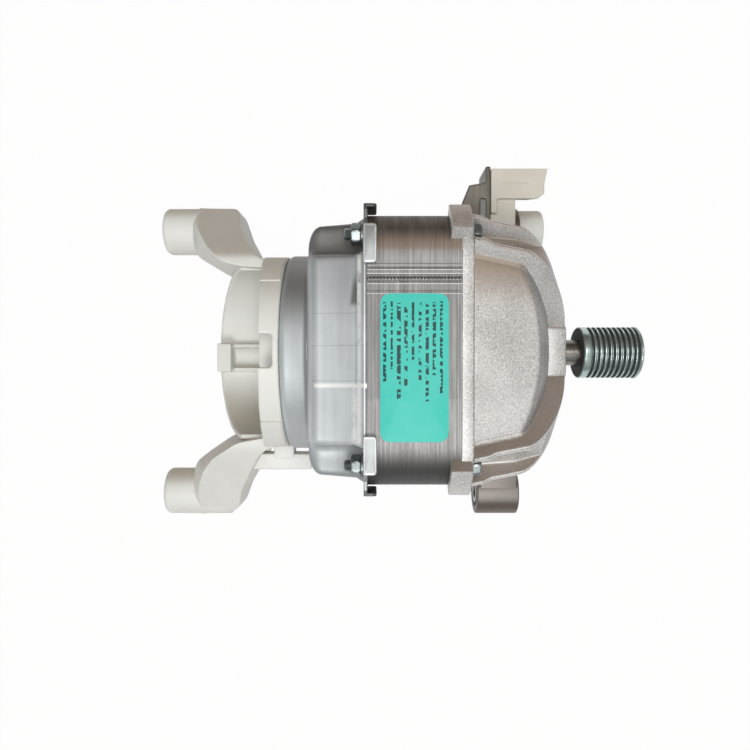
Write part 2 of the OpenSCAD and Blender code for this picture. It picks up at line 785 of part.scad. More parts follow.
module rear_cover() {
    t = sheet_t;
    color([0.72, 0.75, 0.77]) difference() {
        union() {
            lobes(lobe_half, lobe_w, valley_r, shoulder_r, lobe_end, plate_rear + t / 2);
            cover_ring(cover_ring_r, cover_end, lobe_end + 2, 3);
            bar_x(cup_out_r, cup_end, cover_end + t / 2);
            across(plate_rear, stack_rear) stack_outline();
            cover_tabs();
        }
        lobes(lobe_half - t, lobe_w - t, valley_r + t, shoulder_r - t, lobe_end + t, stack_rear + cut);
        cover_ring(cover_ring_r - t, cover_end + t, lobe_end + t + cut, 2);
        bar_x(cup_r, cup_inner_end, cover_end + t + cut);
        at_bolts() bar_x(bolt_d / 2 + bolt_gap, plate_rear - cut, stack_rear + cut);
        around(3, 60) bar_x(screw_d / 2 + seat_gap, cover_end - cut, cover_end + t + cut, 0, screw_circle_r);
    }
}

// Fasteners

module tie_bolts() {
    shank_end = plate_rear - washer_t - nut_h - stud_out;
    color([0.6, 0.61, 0.6]) at_bolts() {
        bar_x(bolt_d / 2, shank_end, flange_front + eps);
        translate([flange_front, 0, 0]) rotate([0, 90, 0])
            cylinder(d = bolt_af / cos(30), h = bolt_head_h, $fn = 6);
    }
}

module tie_nuts() {
    color([0.55, 0.57, 0.58]) at_bolts() translate([plate_rear - washer_t - nut_h, 0, 0])
        rotate([0, 90, 0]) difference() {
            cylinder(d = bolt_af / cos(30), h = nut_h, $fn = 6);
            translate([0, 0, -cut]) cylinder(r = bolt_d / 2 + seat_gap, h = nut_h + 2 * cut);
        }
}

module nut_washers() {
    color([0.68, 0.69, 0.68]) at_bolts()
        ring(bolt_d / 2 + bolt_gap, bolt_af / 2 + 1, plate_rear - washer_t, plate_rear);
}

// Rear bracket

// Cuts away what lies behind a slanting plane: back0 behind the face at Z 0, back1 at Z z1.
module keep_ahead_of(back0, back1, z1) {
    slope = (back1 - back0) / z1;
    z_lim = cut_span / 2;
    intersection() {
        children();
        rotate([90, 0, 0]) linear_extrude(cut_span, center = true) polygon([
            [bracket_x + 10, z_lim], [bracket_x + 10, -z_lim],
            [bracket_x - back0 + slope * z_lim, -z_lim], [bracket_x - back0 - slope * z_lim, z_lim]]);
    }
}

module bracket_ring() {
    difference() {
        keep_ahead_of(band_mid, band_near, bracket_r)
            ring(bracket_r - band_t, bracket_r, bracket_x - 2 * band_mid, bracket_x);
        translate([bracket_x - disc_t - 30, -notch_w / 2, 0]) cube([30, notch_w, 2 * bracket_r]);
    }
    ring(bracket_hub_r, bracket_r - eps, bracket_x - disc_t, bracket_x);
    ring(bracket_hub_r, bracket_hub_r + bracket_hub_t, cup_end + 1, bracket_x);
}

module bracket_scoop() {
    open_back = scoop_len - scoop_cut;
    difference() {
        keep_ahead_of(open_back, scoop_len, -scoop_r)
            ring(scoop_r - scoop_t, scoop_r, bracket_x - 80, bracket_x - disc_t + eps);
        translate([bracket_x - 120, -100, 2]) cube([200, 200, 100]);
    }
    translate([bracket_x - scoop_len + 1.4, -9.3, -scoop_r + 1]) cube([7.2, 14.6, 12]);
    for (y = [-9.3, 3.3]) translate([bracket_x - scoop_len + 8, y, -scoop_r + 1])
        cube([scoop_len - 9 - disc_t - screw_head_h, 2, 7]);
}

// One arm from the ring out and down to its boss, the shape in plan cut to its shape from behind.
module bracket_arm(y) {
    side = sign(y);
    yb = abs(y);
    root = bracket_r - 5;
    inner = [for (t = [0 : 0.125 : 1]) bend([-10, root], [-45, root + 1], [-boss_end + boss_len, yb + 2], t)];
    outer = [[-boss_end + boss_len + 2, yb + 11.6], [-37, yb + 10.6], [-33, yb + 7], [-29, yb - 2],
        [-14, bracket_r + 1.6], [-3, bracket_r - 1]];
    intersection() {
        translate([bracket_x, 0, -100]) linear_extrude(200) polygon(
            [for (p = concat([[-3, root]], inner, outer)) [p[0], side * p[1]]]);
        across(boss_rear, bracket_x) polygon([for (p = [[root - 5, 6], [root + 3, 6],
            [yb - 6, -mount_drop + tube_r], [yb + 13, -mount_drop + tube_r - 1],
            [yb + 13, -mount_drop - tube_r + 1], [yb - 15, -mount_drop - tube_r + 1],
            [root - 5, -36]]) [side * p[0], p[1]]]);
    }
}

module bracket_boss(y) {
    translate([0, y, -mount_drop]) {
        turned([[0, boss_rear], [tube_r - 3, boss_rear], [tube_r - 0.9, boss_rear + 0.9],
            [tube_r, boss_rear + 3], [tube_r, block_rear + 1], [0, block_rear + 1]]);
        bar_x(tube_r + 0.2, block_rear, block_front);
    }
}

module rear_bracket() {
    color([0.88, 0.88, 0.86]) difference() {
        union() {
            bracket_ring();
            bracket_scoop();
        }
        around(3, 60)
            bar_x(screw_d / 2 + bolt_gap, bracket_x - disc_t - cut, bracket_x + cut, 0, screw_circle_r);
    }
}

// An arm with its boss, seated on the outside of the ring and the scoop.
module seated_arm(y) {
    difference() {
        union() {
            bracket_arm(y);
            bracket_boss(y);
            children();
        }
        keep_ahead_of(band_mid + seat_gap, band_near + seat_gap, bracket_r)
            bar_x(bracket_r + seat_gap, bracket_x - 2 * band_mid, bracket_x + cut);
        bar_x(scoop_r + seat_gap, boss_rear, bracket_x);
        bar_x(sleeve_r + seat_gap, boss_rear - cut, block_front + cut, y, -mount_drop);
    }
}

module bracket_arm_upper() {
    color([0.86, 0.86, 0.84]) seated_arm(mount_ys[0]);
}

// The lower arm also carries the hook for the harness.
module bracket_arm_lower() {
    color([0.86, 0.86, 0.84]) seated_arm(mount_ys[1])
        translate([bracket_x - 22, -lobe_half - 4.6, -24]) cube([30, 8, 10]);
}

module bracket_cushion() {
    color([0.1, 0.1, 0.1]) ring(cushion_r0, cushion_r1, cup_end + 1, bracket_x);
}

module bracket_screws() {
    head_x = bracket_x - disc_t;
    color([0.62, 0.63, 0.63]) around(3, 60) {
        bar_x(screw_d / 2, head_x - eps, cover_end + screw_reach, 0, screw_circle_r);
        translate([0, 0, screw_circle_r]) turned([[0, head_x - screw_head_h],
            [screw_d * 0.7, head_x - screw_head_h], [screw_d * 0.95, head_x - screw_head_h * 0.6],
            [screw_d * 0.95, head_x], [0, head_x]]);
    }
}

module sleeve(x0, x1, y) {
    translate([0, y, -mount_drop]) ring(mount_hole_r, sleeve_r, x0, x1);
}

module rear_boss_sleeves() {
    color([0.66, 0.67, 0.67]) for (y = mount_ys) sleeve(boss_rear, block_front, y);
}

module front_lug_bushes() {
    color([0.07, 0.07, 0.07]) for (y = mount_ys)
        translate([0, y, -mount_drop]) ring(sleeve_r + seat_gap, bush_r, lug_rear, lug_front);
}

module front_lug_sleeves() {
    color([0.66, 0.67, 0.67]) {
        sleeve(lug_rear, lug_front + spacer_len, mount_ys[0]);
        sleeve(lug_rear, lug_front, mount_ys[1]);
    }
}

module upper_lug_spacer() {
    r = tube_r - 1;
    end = lug_front + spacer_len;
    seat = sleeve_r + seat_gap;
    edge = r - seat - 0.8;
    color([0.85, 0.86, 0.86]) translate([0, mount_ys[0], -mount_drop]) turned(concat(
        [[seat, lug_front], [r, lug_front]],
        [for (a = [0 : 15 : 90]) [r - edge * (1 - cos(a)), end - edge * (1 - sin(a))]],
        [[seat, end]]));
}

// Connector

module connector_bracket() {
    z0 = connector_z - pad_w / 2;
    gusset_z = connector_z + pad_w / 2 - plate_t;
    color([0.7, 0.68, 0.66]) difference() {
        union() {
            translate([plate_rear_x, pad_y, z0]) cube([plate_t, connector_top - pad_y, pad_w]);
            translate([pad_x0, pad_y, z0]) cube([plate_front_x - pad_x0, plate_t, pad_w]);
            translate([0, 0, gusset_z]) linear_extrude(plate_t) polygon([
                [pad_x0, pad_y], [pad_x0, connector_top - 17.6], [pad_x0 + 3.6, connector_top - 8.8],
                [plate_front_x, connector_top - 7], [plate_front_x, pad_y]]);
        }
        translate([screw_x, pad_y - cut, connector_z]) rotate([-90, 0, 0])
            cylinder(r = screw_d / 2 + bolt_gap, h = 2 * plate_t + cut);
        translate([plate_rear_x - 2.4, pad_y + 9, gusset_z - cut]) cube([2.4 - eps, 10, plate_t + 2 * cut]);
    }
}

module connector_screw() {
    color([0.6, 0.6, 0.6]) translate([screw_x, pad_y + plate_t, connector_z]) rotate([90, 0, 0]) {
        cylinder(d = screw_d - 2 * seat_gap, h = 6);
        translate([0, 0, -2.2]) cylinder(d = screw_d * 1.9, h = 2.2);
    }
}

module connector_housing() {
    z0 = connector_z - connector_w / 2;
    back = body_x1 - socket_depth;
    inner_h = connector_h - 2 * connector_wall;
    inner_w = connector_w - 2 * connector_wall;
    color([0.84, 0.83, 0.78]) difference() {
        union() {
            translate([0, 0, z0]) linear_extrude(connector_w) polygon([
                [body_x0 - eps, body_y0], [body_x1 - 3, body_y0], [body_x1, body_y0 + 2.6],
                [body_x1, body_y0 + 7], [body_x1 + 1.4, connector_top], [body_x0 - eps, connector_top]]);
            translate([plate_front_x, neck_y0 + 5, z0]) cube([2.9, connector_top - neck_y0 - 5, connector_w]);
            translate([plate_front_x, neck_y0, z0 + 2]) cube([12.4, body_y0 - neck_y0 + eps, connector_w - 4]);
        }
        translate([back, body_y0 + connector_wall, z0 + connector_wall])
            cube([socket_depth + 5, inner_h, inner_w]);
        translate([body_x0 + 3, connector_top - connector_h / 2 - 0.5, z0 + connector_w - connector_wall - cut])
            cube([13, 1, connector_wall + 2 * cut]);
        blades(seat_gap);
    }
}

// The row of blades, grown by a clearance where they pass through the housing.
module blades(grow) {
    pitch = (connector_w - 2 * connector_wall) / blade_count;
    y_mid = (body_y0 + connector_top) / 2;
    for (i = [0 : blade_count - 1])
        translate([plate_front_x + 2 - grow, y_mid - 2 - grow,
            connector_z - 0.4 - grow + (i - (blade_count - 1) / 2) * pitch])
            cube([body_x1 - plate_front_x - 9 + 2 * grow, 4 + 2 * grow, 0.8 + 2 * grow]);
}

module connector_blades() {
    color([0.78, 0.7, 0.45]) blades(0);
}

// Label: a bare rounded patch on the near side of the stack.
module rating_label() {
    label_x = stack_rear + label_gap + label_w / 2;
    label_y = label_top - label_len / 2;
    color([0.28, 0.84, 0.77]) translate([label_x, label_y, stack_half])
        linear_extrude(label_t) round_square(label_w / 2, label_len / 2, label_r);
}

rear_cover();
front_bell();
stator_core();
front_insulator();
rear_insulator();
windings();
rotor_core();
rotor_magnets();
rotor_end_rings();
shaft();
drive_pulley();
dust_seal();
front_bearing_outer_ring();
front_bearing_inner_ring();
front_bearing_shields();
front_bearing_balls();
front_bearing_cage();
rear_bearing_outer_ring();
rear_bearing_inner_ring();
rear_bearing_shields();
rear_bearing_balls();
rear_bearing_cage();
wave_washer();
sensor_magnet();
sensor_board();
hall_sensors();
tie_bolts();
tie_nuts();
nut_washers();
rear_bracket();
bracket_arm_upper();
bracket_arm_lower();
bracket_cushion();
bracket_screws();
rear_boss_sleeves();
front_lug_bushes();
front_lug_sleeves();
upper_lug_spacer();
connector_bracket();
connector_screw();
connector_housing();
connector_blades();
rating_label();
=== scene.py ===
"""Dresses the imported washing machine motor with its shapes, finishes, lights and camera.

The frame is the CAD model's, in metres: X along the shaft towards the pulley, Y towards
the connector, Z up. Sizes held by the classes are in millimetres and degrees.
"""

import json
import logging
import math
from dataclasses import dataclass
from enum import Enum
from typing import Any, Callable, Sequence

import bmesh
import bpy
import numpy as np
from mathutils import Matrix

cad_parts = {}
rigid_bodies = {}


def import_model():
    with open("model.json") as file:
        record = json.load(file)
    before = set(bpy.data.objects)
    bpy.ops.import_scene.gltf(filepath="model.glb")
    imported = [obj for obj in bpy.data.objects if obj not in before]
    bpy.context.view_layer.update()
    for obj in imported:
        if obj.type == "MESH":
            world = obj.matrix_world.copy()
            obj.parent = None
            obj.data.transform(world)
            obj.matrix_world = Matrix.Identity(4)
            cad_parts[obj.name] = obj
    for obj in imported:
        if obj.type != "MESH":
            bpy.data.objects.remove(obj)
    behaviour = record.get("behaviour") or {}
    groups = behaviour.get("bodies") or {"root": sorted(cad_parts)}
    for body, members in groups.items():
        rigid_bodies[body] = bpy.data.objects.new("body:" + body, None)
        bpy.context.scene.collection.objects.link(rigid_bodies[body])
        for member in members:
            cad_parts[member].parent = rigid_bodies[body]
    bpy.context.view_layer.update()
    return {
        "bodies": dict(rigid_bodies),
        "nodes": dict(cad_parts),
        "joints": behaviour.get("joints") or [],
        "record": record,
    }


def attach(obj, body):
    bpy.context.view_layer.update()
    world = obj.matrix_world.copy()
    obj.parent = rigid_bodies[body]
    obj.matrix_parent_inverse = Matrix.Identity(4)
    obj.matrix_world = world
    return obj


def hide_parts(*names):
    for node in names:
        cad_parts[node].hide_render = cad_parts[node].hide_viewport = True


LOG = logging.getLogger("motor")
MM = 0.001
PER_METRE = 1000.0
TURN = 2 * math.pi
Array = np.ndarray
Colour = tuple[float, float, float]
Pair = tuple[float, float]
Place = Sequence[float]
Points = Sequence[Sequence[float]]
Box = tuple[Place, Place]
Given = dict[Any, Any] | None
QUARTERS = ((1, 0), (0, 1), (-1, 0), (0, -1))
DIAGONAL = math.sqrt(2)
EVEN = (1, 1, 1)
WHITE = (1.0, 1.0, 1.0)
MERGE_DISTANCE = 2e-7
SHORTEST_EDGE = 1e-8
OUTLINE_READINGS = 3600


# Outlines and profiles


def rounded(points: Points, radii: float | Place, closed: bool = True, steps: int = 5) -> Array:
    """Rounds the corners of an outline.

    Each corner becomes a curve with three control points: the corner itself, and the two
    points that lie before and behind it by its radius times the tangent of half its turn.

    Args:
        points: Corners in order, as pairs.
        radii: One radius, or one for each corner; 0 keeps the corner.
        closed: Whether the last corner joins the first.
        steps: Segments in each rounded corner.

    Returns:
        The rounded outline as an (n, 2) array.
    """
    p = np.asarray(points, float)
    r = np.broadcast_to(np.asarray(radii, float), (len(p),))
    before = np.roll(p, 1, axis=0) - p
    behind = np.roll(p, -1, axis=0) - p
    len_a = np.maximum(np.linalg.norm(before, axis=1), 1e-9)
    len_b = np.maximum(np.linalg.norm(behind, axis=1), 1e-9)
    ua, ub = before / len_a[:, None], behind / len_b[:, None]
    turn = np.pi - np.arccos(np.clip((ua * ub).sum(1), -1, 1))
    reach = np.minimum(r * np.tan(turn / 2), 0.48 * np.minimum(len_a, len_b))
    t = np.linspace(0, 1, steps + 1)[None, :, None]
    start, end = p + ua * reach[:, None], p + ub * reach[:, None]
    curve = (1 - t) ** 2 * start[:, None] + 2 * t * (1 - t) * p[:, None] + t**2 * end[:, None]
    if not closed:
        reach[[0, -1]] = 0
    return np.concatenate([curve[i] if reach[i] > 1e-6 else p[i : i + 1] for i in range(len(p))])


def soft_min(a: Array, b: Array, blend: float) -> Array:
    """The smaller of two values, eased over a band of the given width where they cross."""
    h = np.clip(0.5 + 0.5 * (b - a) / blend, 0, 1)
    return b * (1 - h) + a * h - blend * h * (1 - h)


def ramp(value: Array, start: float, run: float) -> Array:
    """0 up to the start, rising evenly to 1 over the run; a negative run rises the other way."""
    return np.clip((value - start) / run, 0, 1)


def radius_at(outline: Array, theta: Array) -> Array:
    """Radius of a star-shaped outline of (Y, Z) points at each angle from +Y.

    Args:
        outline: Closed outline of (Y, Z) points.
        theta: Angles from +Y.

    Returns:
        The radius at each angle.
    """
    fine = resampled(outline, OUTLINE_READINGS)
    angle = np.arctan2(fine[:, 1], fine[:, 0]) % TURN
    order = np.argsort(angle)
    return np.interp(theta, angle[order], np.hypot(*fine.T)[order], period=TURN)


def rectangle(y0: float, y1: float, z0: float, z1: float, r: float | Place) -> Array:
    """A rectangle with rounded corners, in order round its middle."""
    return rounded([(y0, z0), (y1, z0), (y1, z1), (y0, z1)], r)


def resampled(outline: Array, count: int, closed: bool = True) -> Array:
    """The outline as a given number of points, evenly spaced along its length.

    Args:
        outline: Points in order.
        count: Number of points wanted.
        closed: Whether the last point joins the first.

    Returns:
        An (n, 2) array.
    """
    path = np.vstack([outline, outline[:1]]) if closed else outline
    run = np.concatenate([[0], np.cumsum(np.linalg.norm(np.diff(path, axis=0), axis=1))])
    at = np.linspace(0, run[-1], count, endpoint=not closed)
    return np.stack([np.interp(at, run, path[:, 0]), np.interp(at, run, path[:, 1])], axis=1)


def inset(outline: Array, distance: float) -> Array:
    """The closed outline moved inwards: each point goes along the mean normal of its two edges.

    Args:
        outline: Points in order.
        distance: How far each point goes; a negative one goes outwards.

    Returns:
        The moved outline.
    """
    area = np.sum(outline[:, 0] * np.roll(outline[:, 1], -1) - np.roll(outline[:, 0], -1) * outline[:, 1])
    along = np.roll(outline, -1, axis=0) - np.roll(outline, 1, axis=0)
    normal = np.stack([-along[:, 1], along[:, 0]], axis=1) * np.sign(area)
    return outline + normal / np.maximum(np.linalg.norm(normal, axis=1), 1e-9)[:, None] * distance


class Along(Enum):
    """The axis that a slab's thickness follows, as the places of its u, v and w in X, Y, Z."""

    X = (1, 2, 0)
    Y = (0, 2, 1)
    Z = (0, 1, 2)


def slab(outline: Array, w0: float, w1: float, rim: float, along: Along, steps: int = 3) -> Array:
    """Rows of a plate with rounded rims.

    The rows follow a quarter circle at each face: at an angle a the outline is drawn in by
    rim times (1 - sin a), and lies rim times (1 - cos a) behind the face.

    Args:
        outline: Closed outline in the plate's plane.
        w0: Place of the first face along the axis.
        w1: Place of the second face.
        rim: Radius of the rims.
        along: Axis of the thickness.
        steps: Segments in each rim.

    Returns:
        Points as a (rows, columns, 3) array.
    """
    a = np.linspace(0, math.pi / 2, steps + 1)
    depth, draw = rim * (1 - np.cos(a)), rim * (1 - np.sin(a))
    levels = np.concatenate([w0 + depth, (w1 - depth)[::-1]])
    draws = np.concatenate([draw, draw[::-1]])
    out = np.empty((len(levels), len(outline), 3))
    u, v, w = along.value
    for row, (level, d) in enumerate(zip(levels, draws)):
        drawn = inset(outline, d)
        out[row, :, u], out[row, :, v], out[row, :, w] = drawn[:, 0], drawn[:, 1], level
    return out


def angles(count: int) -> Array:
    """Evenly spaced angles of one full turn."""
    return np.linspace(0, TURN, count, endpoint=False)


def revolve(profile: Points, count: int, y: float = 0.0, z: float = 0.0) -> Array:
    """Rows of a solid of turning: each (x, r) of the profile goes round an axis along X through (y, z)."""
    x, r = np.asarray(profile, float).T
    return around(x[:, None], r[:, None], angles(count)[None, :]) + np.array([0.0, y, z])


def around(x: Array, r: Array, theta: Array) -> Array:
    """Points at radius r and angle theta from +Y about the shaft axis, at place x along it."""
    x, r, theta = np.broadcast_arrays(x, r, theta)
    return np.stack([x, r * np.cos(theta), r * np.sin(theta)], axis=-1)


def placed(outline: Array, x: float) -> Array:
    """An outline of (Y, Z) points at a place along the shaft."""
    return np.column_stack([np.full(len(outline), x), outline])


def rings(levels: Sequence[tuple[float, Array]], theta: Array) -> Array:
    """Rows about the shaft axis: each level is a place along X and a radius at each angle."""
    return np.stack([around(x, r, theta) for x, r in levels])


def quarter_turned(points: Array, c: int, s: int) -> Array:
    """Points turned about the shaft axis by the quarter with cosine c and sine s."""
    x, y, z = np.moveaxis(points, -1, 0)
    return np.stack([x, y * c - z * s, y * s + z * c], axis=-1)


def dome(x0: float, r0: float, x1: float, r1: float, power: float, steps: int) -> Array:
    """Profile of a shoulder, as (x, r): x goes with sin(a) and r with cos(a), both to one power."""
    a = np.linspace(0, math.pi / 2, steps)
    return np.stack([x0 + (x1 - x0) * np.sin(a) ** power, r1 + (r0 - r1) * np.cos(a) ** power], axis=1)


# Meshes


class Surface:
    """Grids of points in millimetres, gathered into one closed mesh."""

    def __init__(self) -> None:
        """Starts with no points and no faces."""
        self._points: list[Array] = []
        self._quads: list[Array] = [np.empty((0, 4), int)]
        self._tris: list[Array] = [np.empty((0, 3), int)]
        self._count = 0

    def _add(self, points: Array) -> Array:
        """Takes the points in and returns their indices in the same shape.

        Args:
            points: Points in an array of any shape.

        Returns:
            Their indices.
        """
        index = np.arange(points[..., 0].size).reshape(points.shape[:-1]) + self._count
        self._points.append(points.reshape(-1, 3))
        self._count += index.size
        return index

    def grid(self, points: Array, close_u: bool = False, close_v: bool = True) -> "Surface":
        """Joins a (rows, columns, 3) grid into quads, closed over the rows, the columns or both."""
        return self._join(self._add(points), close_u, close_v)

    def _join(self, index: Array, close_u: bool, close_v: bool) -> "Surface":
        """Adds the quads between neighbouring rows and columns of an index grid.

        Args:
            index: Indices in rows and columns.
            close_u: Whether the last row joins the first.
            close_v: Whether the last column joins the first.

        Returns:
            The surface itself.
        """
        if close_u:
            index = np.vstack([index, index[:1]])
        if close_v:
            index = np.hstack([index, index[:, :1]])
        corners = [index[:-1, :-1], index[:-1, 1:], index[1:, 1:], index[1:, :-1]]
        self._quads.append(np.stack(corners, axis=-1).reshape(-1, 4))
        return self

    def solid(self, points: Array) -> "Surface":
        """Adds a grid closed over its columns, with its first and last rows closed to their middles.

        Args:
            points: Points as a (rows, columns, 3) array.

        Returns:
            The surface itself.
        """
        index = self._add(points)
        self._join(index, False, True)
        for row, ring in ((index[0], points[0]), (index[-1], points[-1])):
            middle = self._add(ring.mean(axis=0)[None, :])[0]
            self._tris.append(np.stack([row, np.roll(row, -1), np.full_like(row, middle)], axis=1))
        return self

    def block(self, lo: Place, hi: Place, rim: float, edge: float) -> "Surface":
        """Adds a box with rounded rims, its thickness along Z."""
        outline = rectangle(lo[0], hi[0], lo[1], hi[1], edge)
        return self.solid(slab(outline, lo[2], hi[2], rim, Along.Z))

    def piece(self, name: str, crease: float = 38.0) -> bpy.types.Object:
        """Makes the mesh, turns its faces outwards and gives it an object at the origin.

        Args:
            name: Name of the object and its mesh.
            crease: Edges that turn by more than this many degrees stay sharp.

        Returns:
            The new object.
        """
        points = np.concatenate(self._points) * MM
        quads, tris = np.concatenate(self._quads), np.concatenate(self._tris)
        mesh = bpy.data.meshes.new(name)
        mesh.vertices.add(len(points))
        mesh.vertices.foreach_set("co", points.ravel())
        mesh.loops.add(quads.size + tris.size)
        mesh.loops.foreach_set("vertex_index", np.concatenate([quads.ravel(), tris.ravel()]))
        sizes = np.repeat([4, 3], [len(quads), len(tris)])
        mesh.polygons.add(len(sizes))
        mesh.polygons.foreach_set("loop_start", np.concatenate([[0], np.cumsum(sizes)[:-1]]))
        mesh.update(calc_edges=True)
        return finished(mesh, name, crease)


def finished(mesh: bpy.types.Mesh, name: str, crease: float) -> bpy.types.Object:
    """Merges doubles, turns faces outwards, keeps the creases sharp, and links the new object.

    Args:
        mesh: Points and faces in metres.
        name: Name of the object.
        crease: Edges that turn by more than this many degrees stay sharp.

    Returns:
        The object, at the origin.
    """
    work = bmesh.new()
    work.from_mesh(mesh)
    bmesh.ops.remove_doubles(work, verts=work.verts, dist=MERGE_DISTANCE)
    bmesh.ops.dissolve_degenerate(work, edges=work.edges, dist=SHORTEST_EDGE)
    bmesh.ops.recalc_face_normals(work, faces=work.faces)
    work.to_mesh(mesh)
    work.free()
    mesh.polygons.foreach_set("use_smooth", np.ones(len(mesh.polygons), bool))
    mesh.set_sharp_from_angle(angle=math.radians(crease))
    mesh.update()
    piece = bpy.data.objects.new(name, mesh)
    bpy.context.scene.collection.objects.link(piece)
    return piece


def moulded(source: bpy.types.Object, name: str, voxel: float, passes: int) -> bpy.types.Object:
    """A copy of a CAD solid with its edges and inner corners rounded, as a mould leaves them.

    The copy is merged, rebuilt on a fine even lattice and smoothed by moving each point
    halfway to the mean of its neighbours.

    Args:
        source: The CAD node's object, which is left as it is.
        name: Name of the new piece.
        voxel: Size of the lattice in millimetres.
        passes: Number of smoothing passes.

    Returns:
        The new object, with its modifiers applied.
    """
    mesh = source.data.copy()
    mesh.materials.clear()
    rough = finished(mesh, name + "_rough", 30)
    remesh = rough.modifiers.new("lattice", "REMESH")
    remesh.mode, remesh.voxel_size = "VOXEL", voxel * MM
    smooth = rough.modifiers.new("smoothing", "SMOOTH")
    smooth.factor, smooth.iterations = 0.5, passes
    graph = bpy.context.evaluated_depsgraph_get()
    result = bpy.data.meshes.new_from_object(rough.evaluated_get(graph))
    bpy.data.objects.remove(rough)
    result.name = name
    return finished(result, name, 60)


# Shader maths


def operators(operation: str) -> tuple[Callable[..., Any], Callable[..., Any]]:
    """Two Sock methods that add a Math node: the plain one, and the one with its operands swapped.

    Args:
        operation: Operation of the node.

    Returns:
        Both methods.
    """

    def plain(self: "Sock", other: Any) -> "Sock":
        """Adds the node with this socket first."""
        return self.math(operation, self, other)

    def reflected(self: "Sock", other: Any) -> "Sock":
        """Adds the node with this socket second."""
        return self.math(operation, other, self)

    return plain, reflected


class Sock:
    """A shader socket whose operators add Math nodes; a comparison gives 1 where it holds, else 0."""

    __add__, __radd__ = operators("ADD")
    __sub__, __rsub__ = operators("SUBTRACT")
    __mul__, __rmul__ = operators("MULTIPLY")
    __truediv__, __rtruediv__ = operators("DIVIDE")
    __pow__, __rpow__ = operators("POWER")
    __gt__, __lt__ = operators("GREATER_THAN")

    def __init__(self, paint: "Paint", socket: bpy.types.NodeSocket) -> None:
        """Holds the node tree's builder and the output socket."""
        self.paint = paint
        self.socket = socket

    def math(self, operation: str, a: Any, b: Any = 0.0) -> "Sock":
        """Adds one Math node of the given operation."""
        return self.paint.add("ShaderNodeMath", {"operation": operation}, {0: a, 1: b})

    def fraction(self) -> "Sock":
        """Part behind the decimal point."""
        return self.math("FRACT", self)

    def size(self) -> "Sock":
        """Value without its sign."""
        return self.math("ABSOLUTE", self)

    def eased(self, low: float, high: float) -> "Sock":
        """0 below low, 1 above high, and a smooth rise between."""
        smooth = {"interpolation_type": "SMOOTHSTEP"}
        return self.paint.add("ShaderNodeMapRange", smooth, {0: self, 1: low, 2: high})

    def near(self, place: float, reach: float) -> "Sock":
        """1 within reach of a place, else 0."""
        return (self - place).size() < reach

    def fading(self, place: float, inner: float, outer: float) -> "Sock":
        """1 at a place, falling to 0 between two distances from it."""
        return 1 - (self - place).size().eased(inner, outer)

    def within(self, low: float, high: float) -> "Sock":
        """1 between two values, else 0."""
        return (self > low) * (self < high)


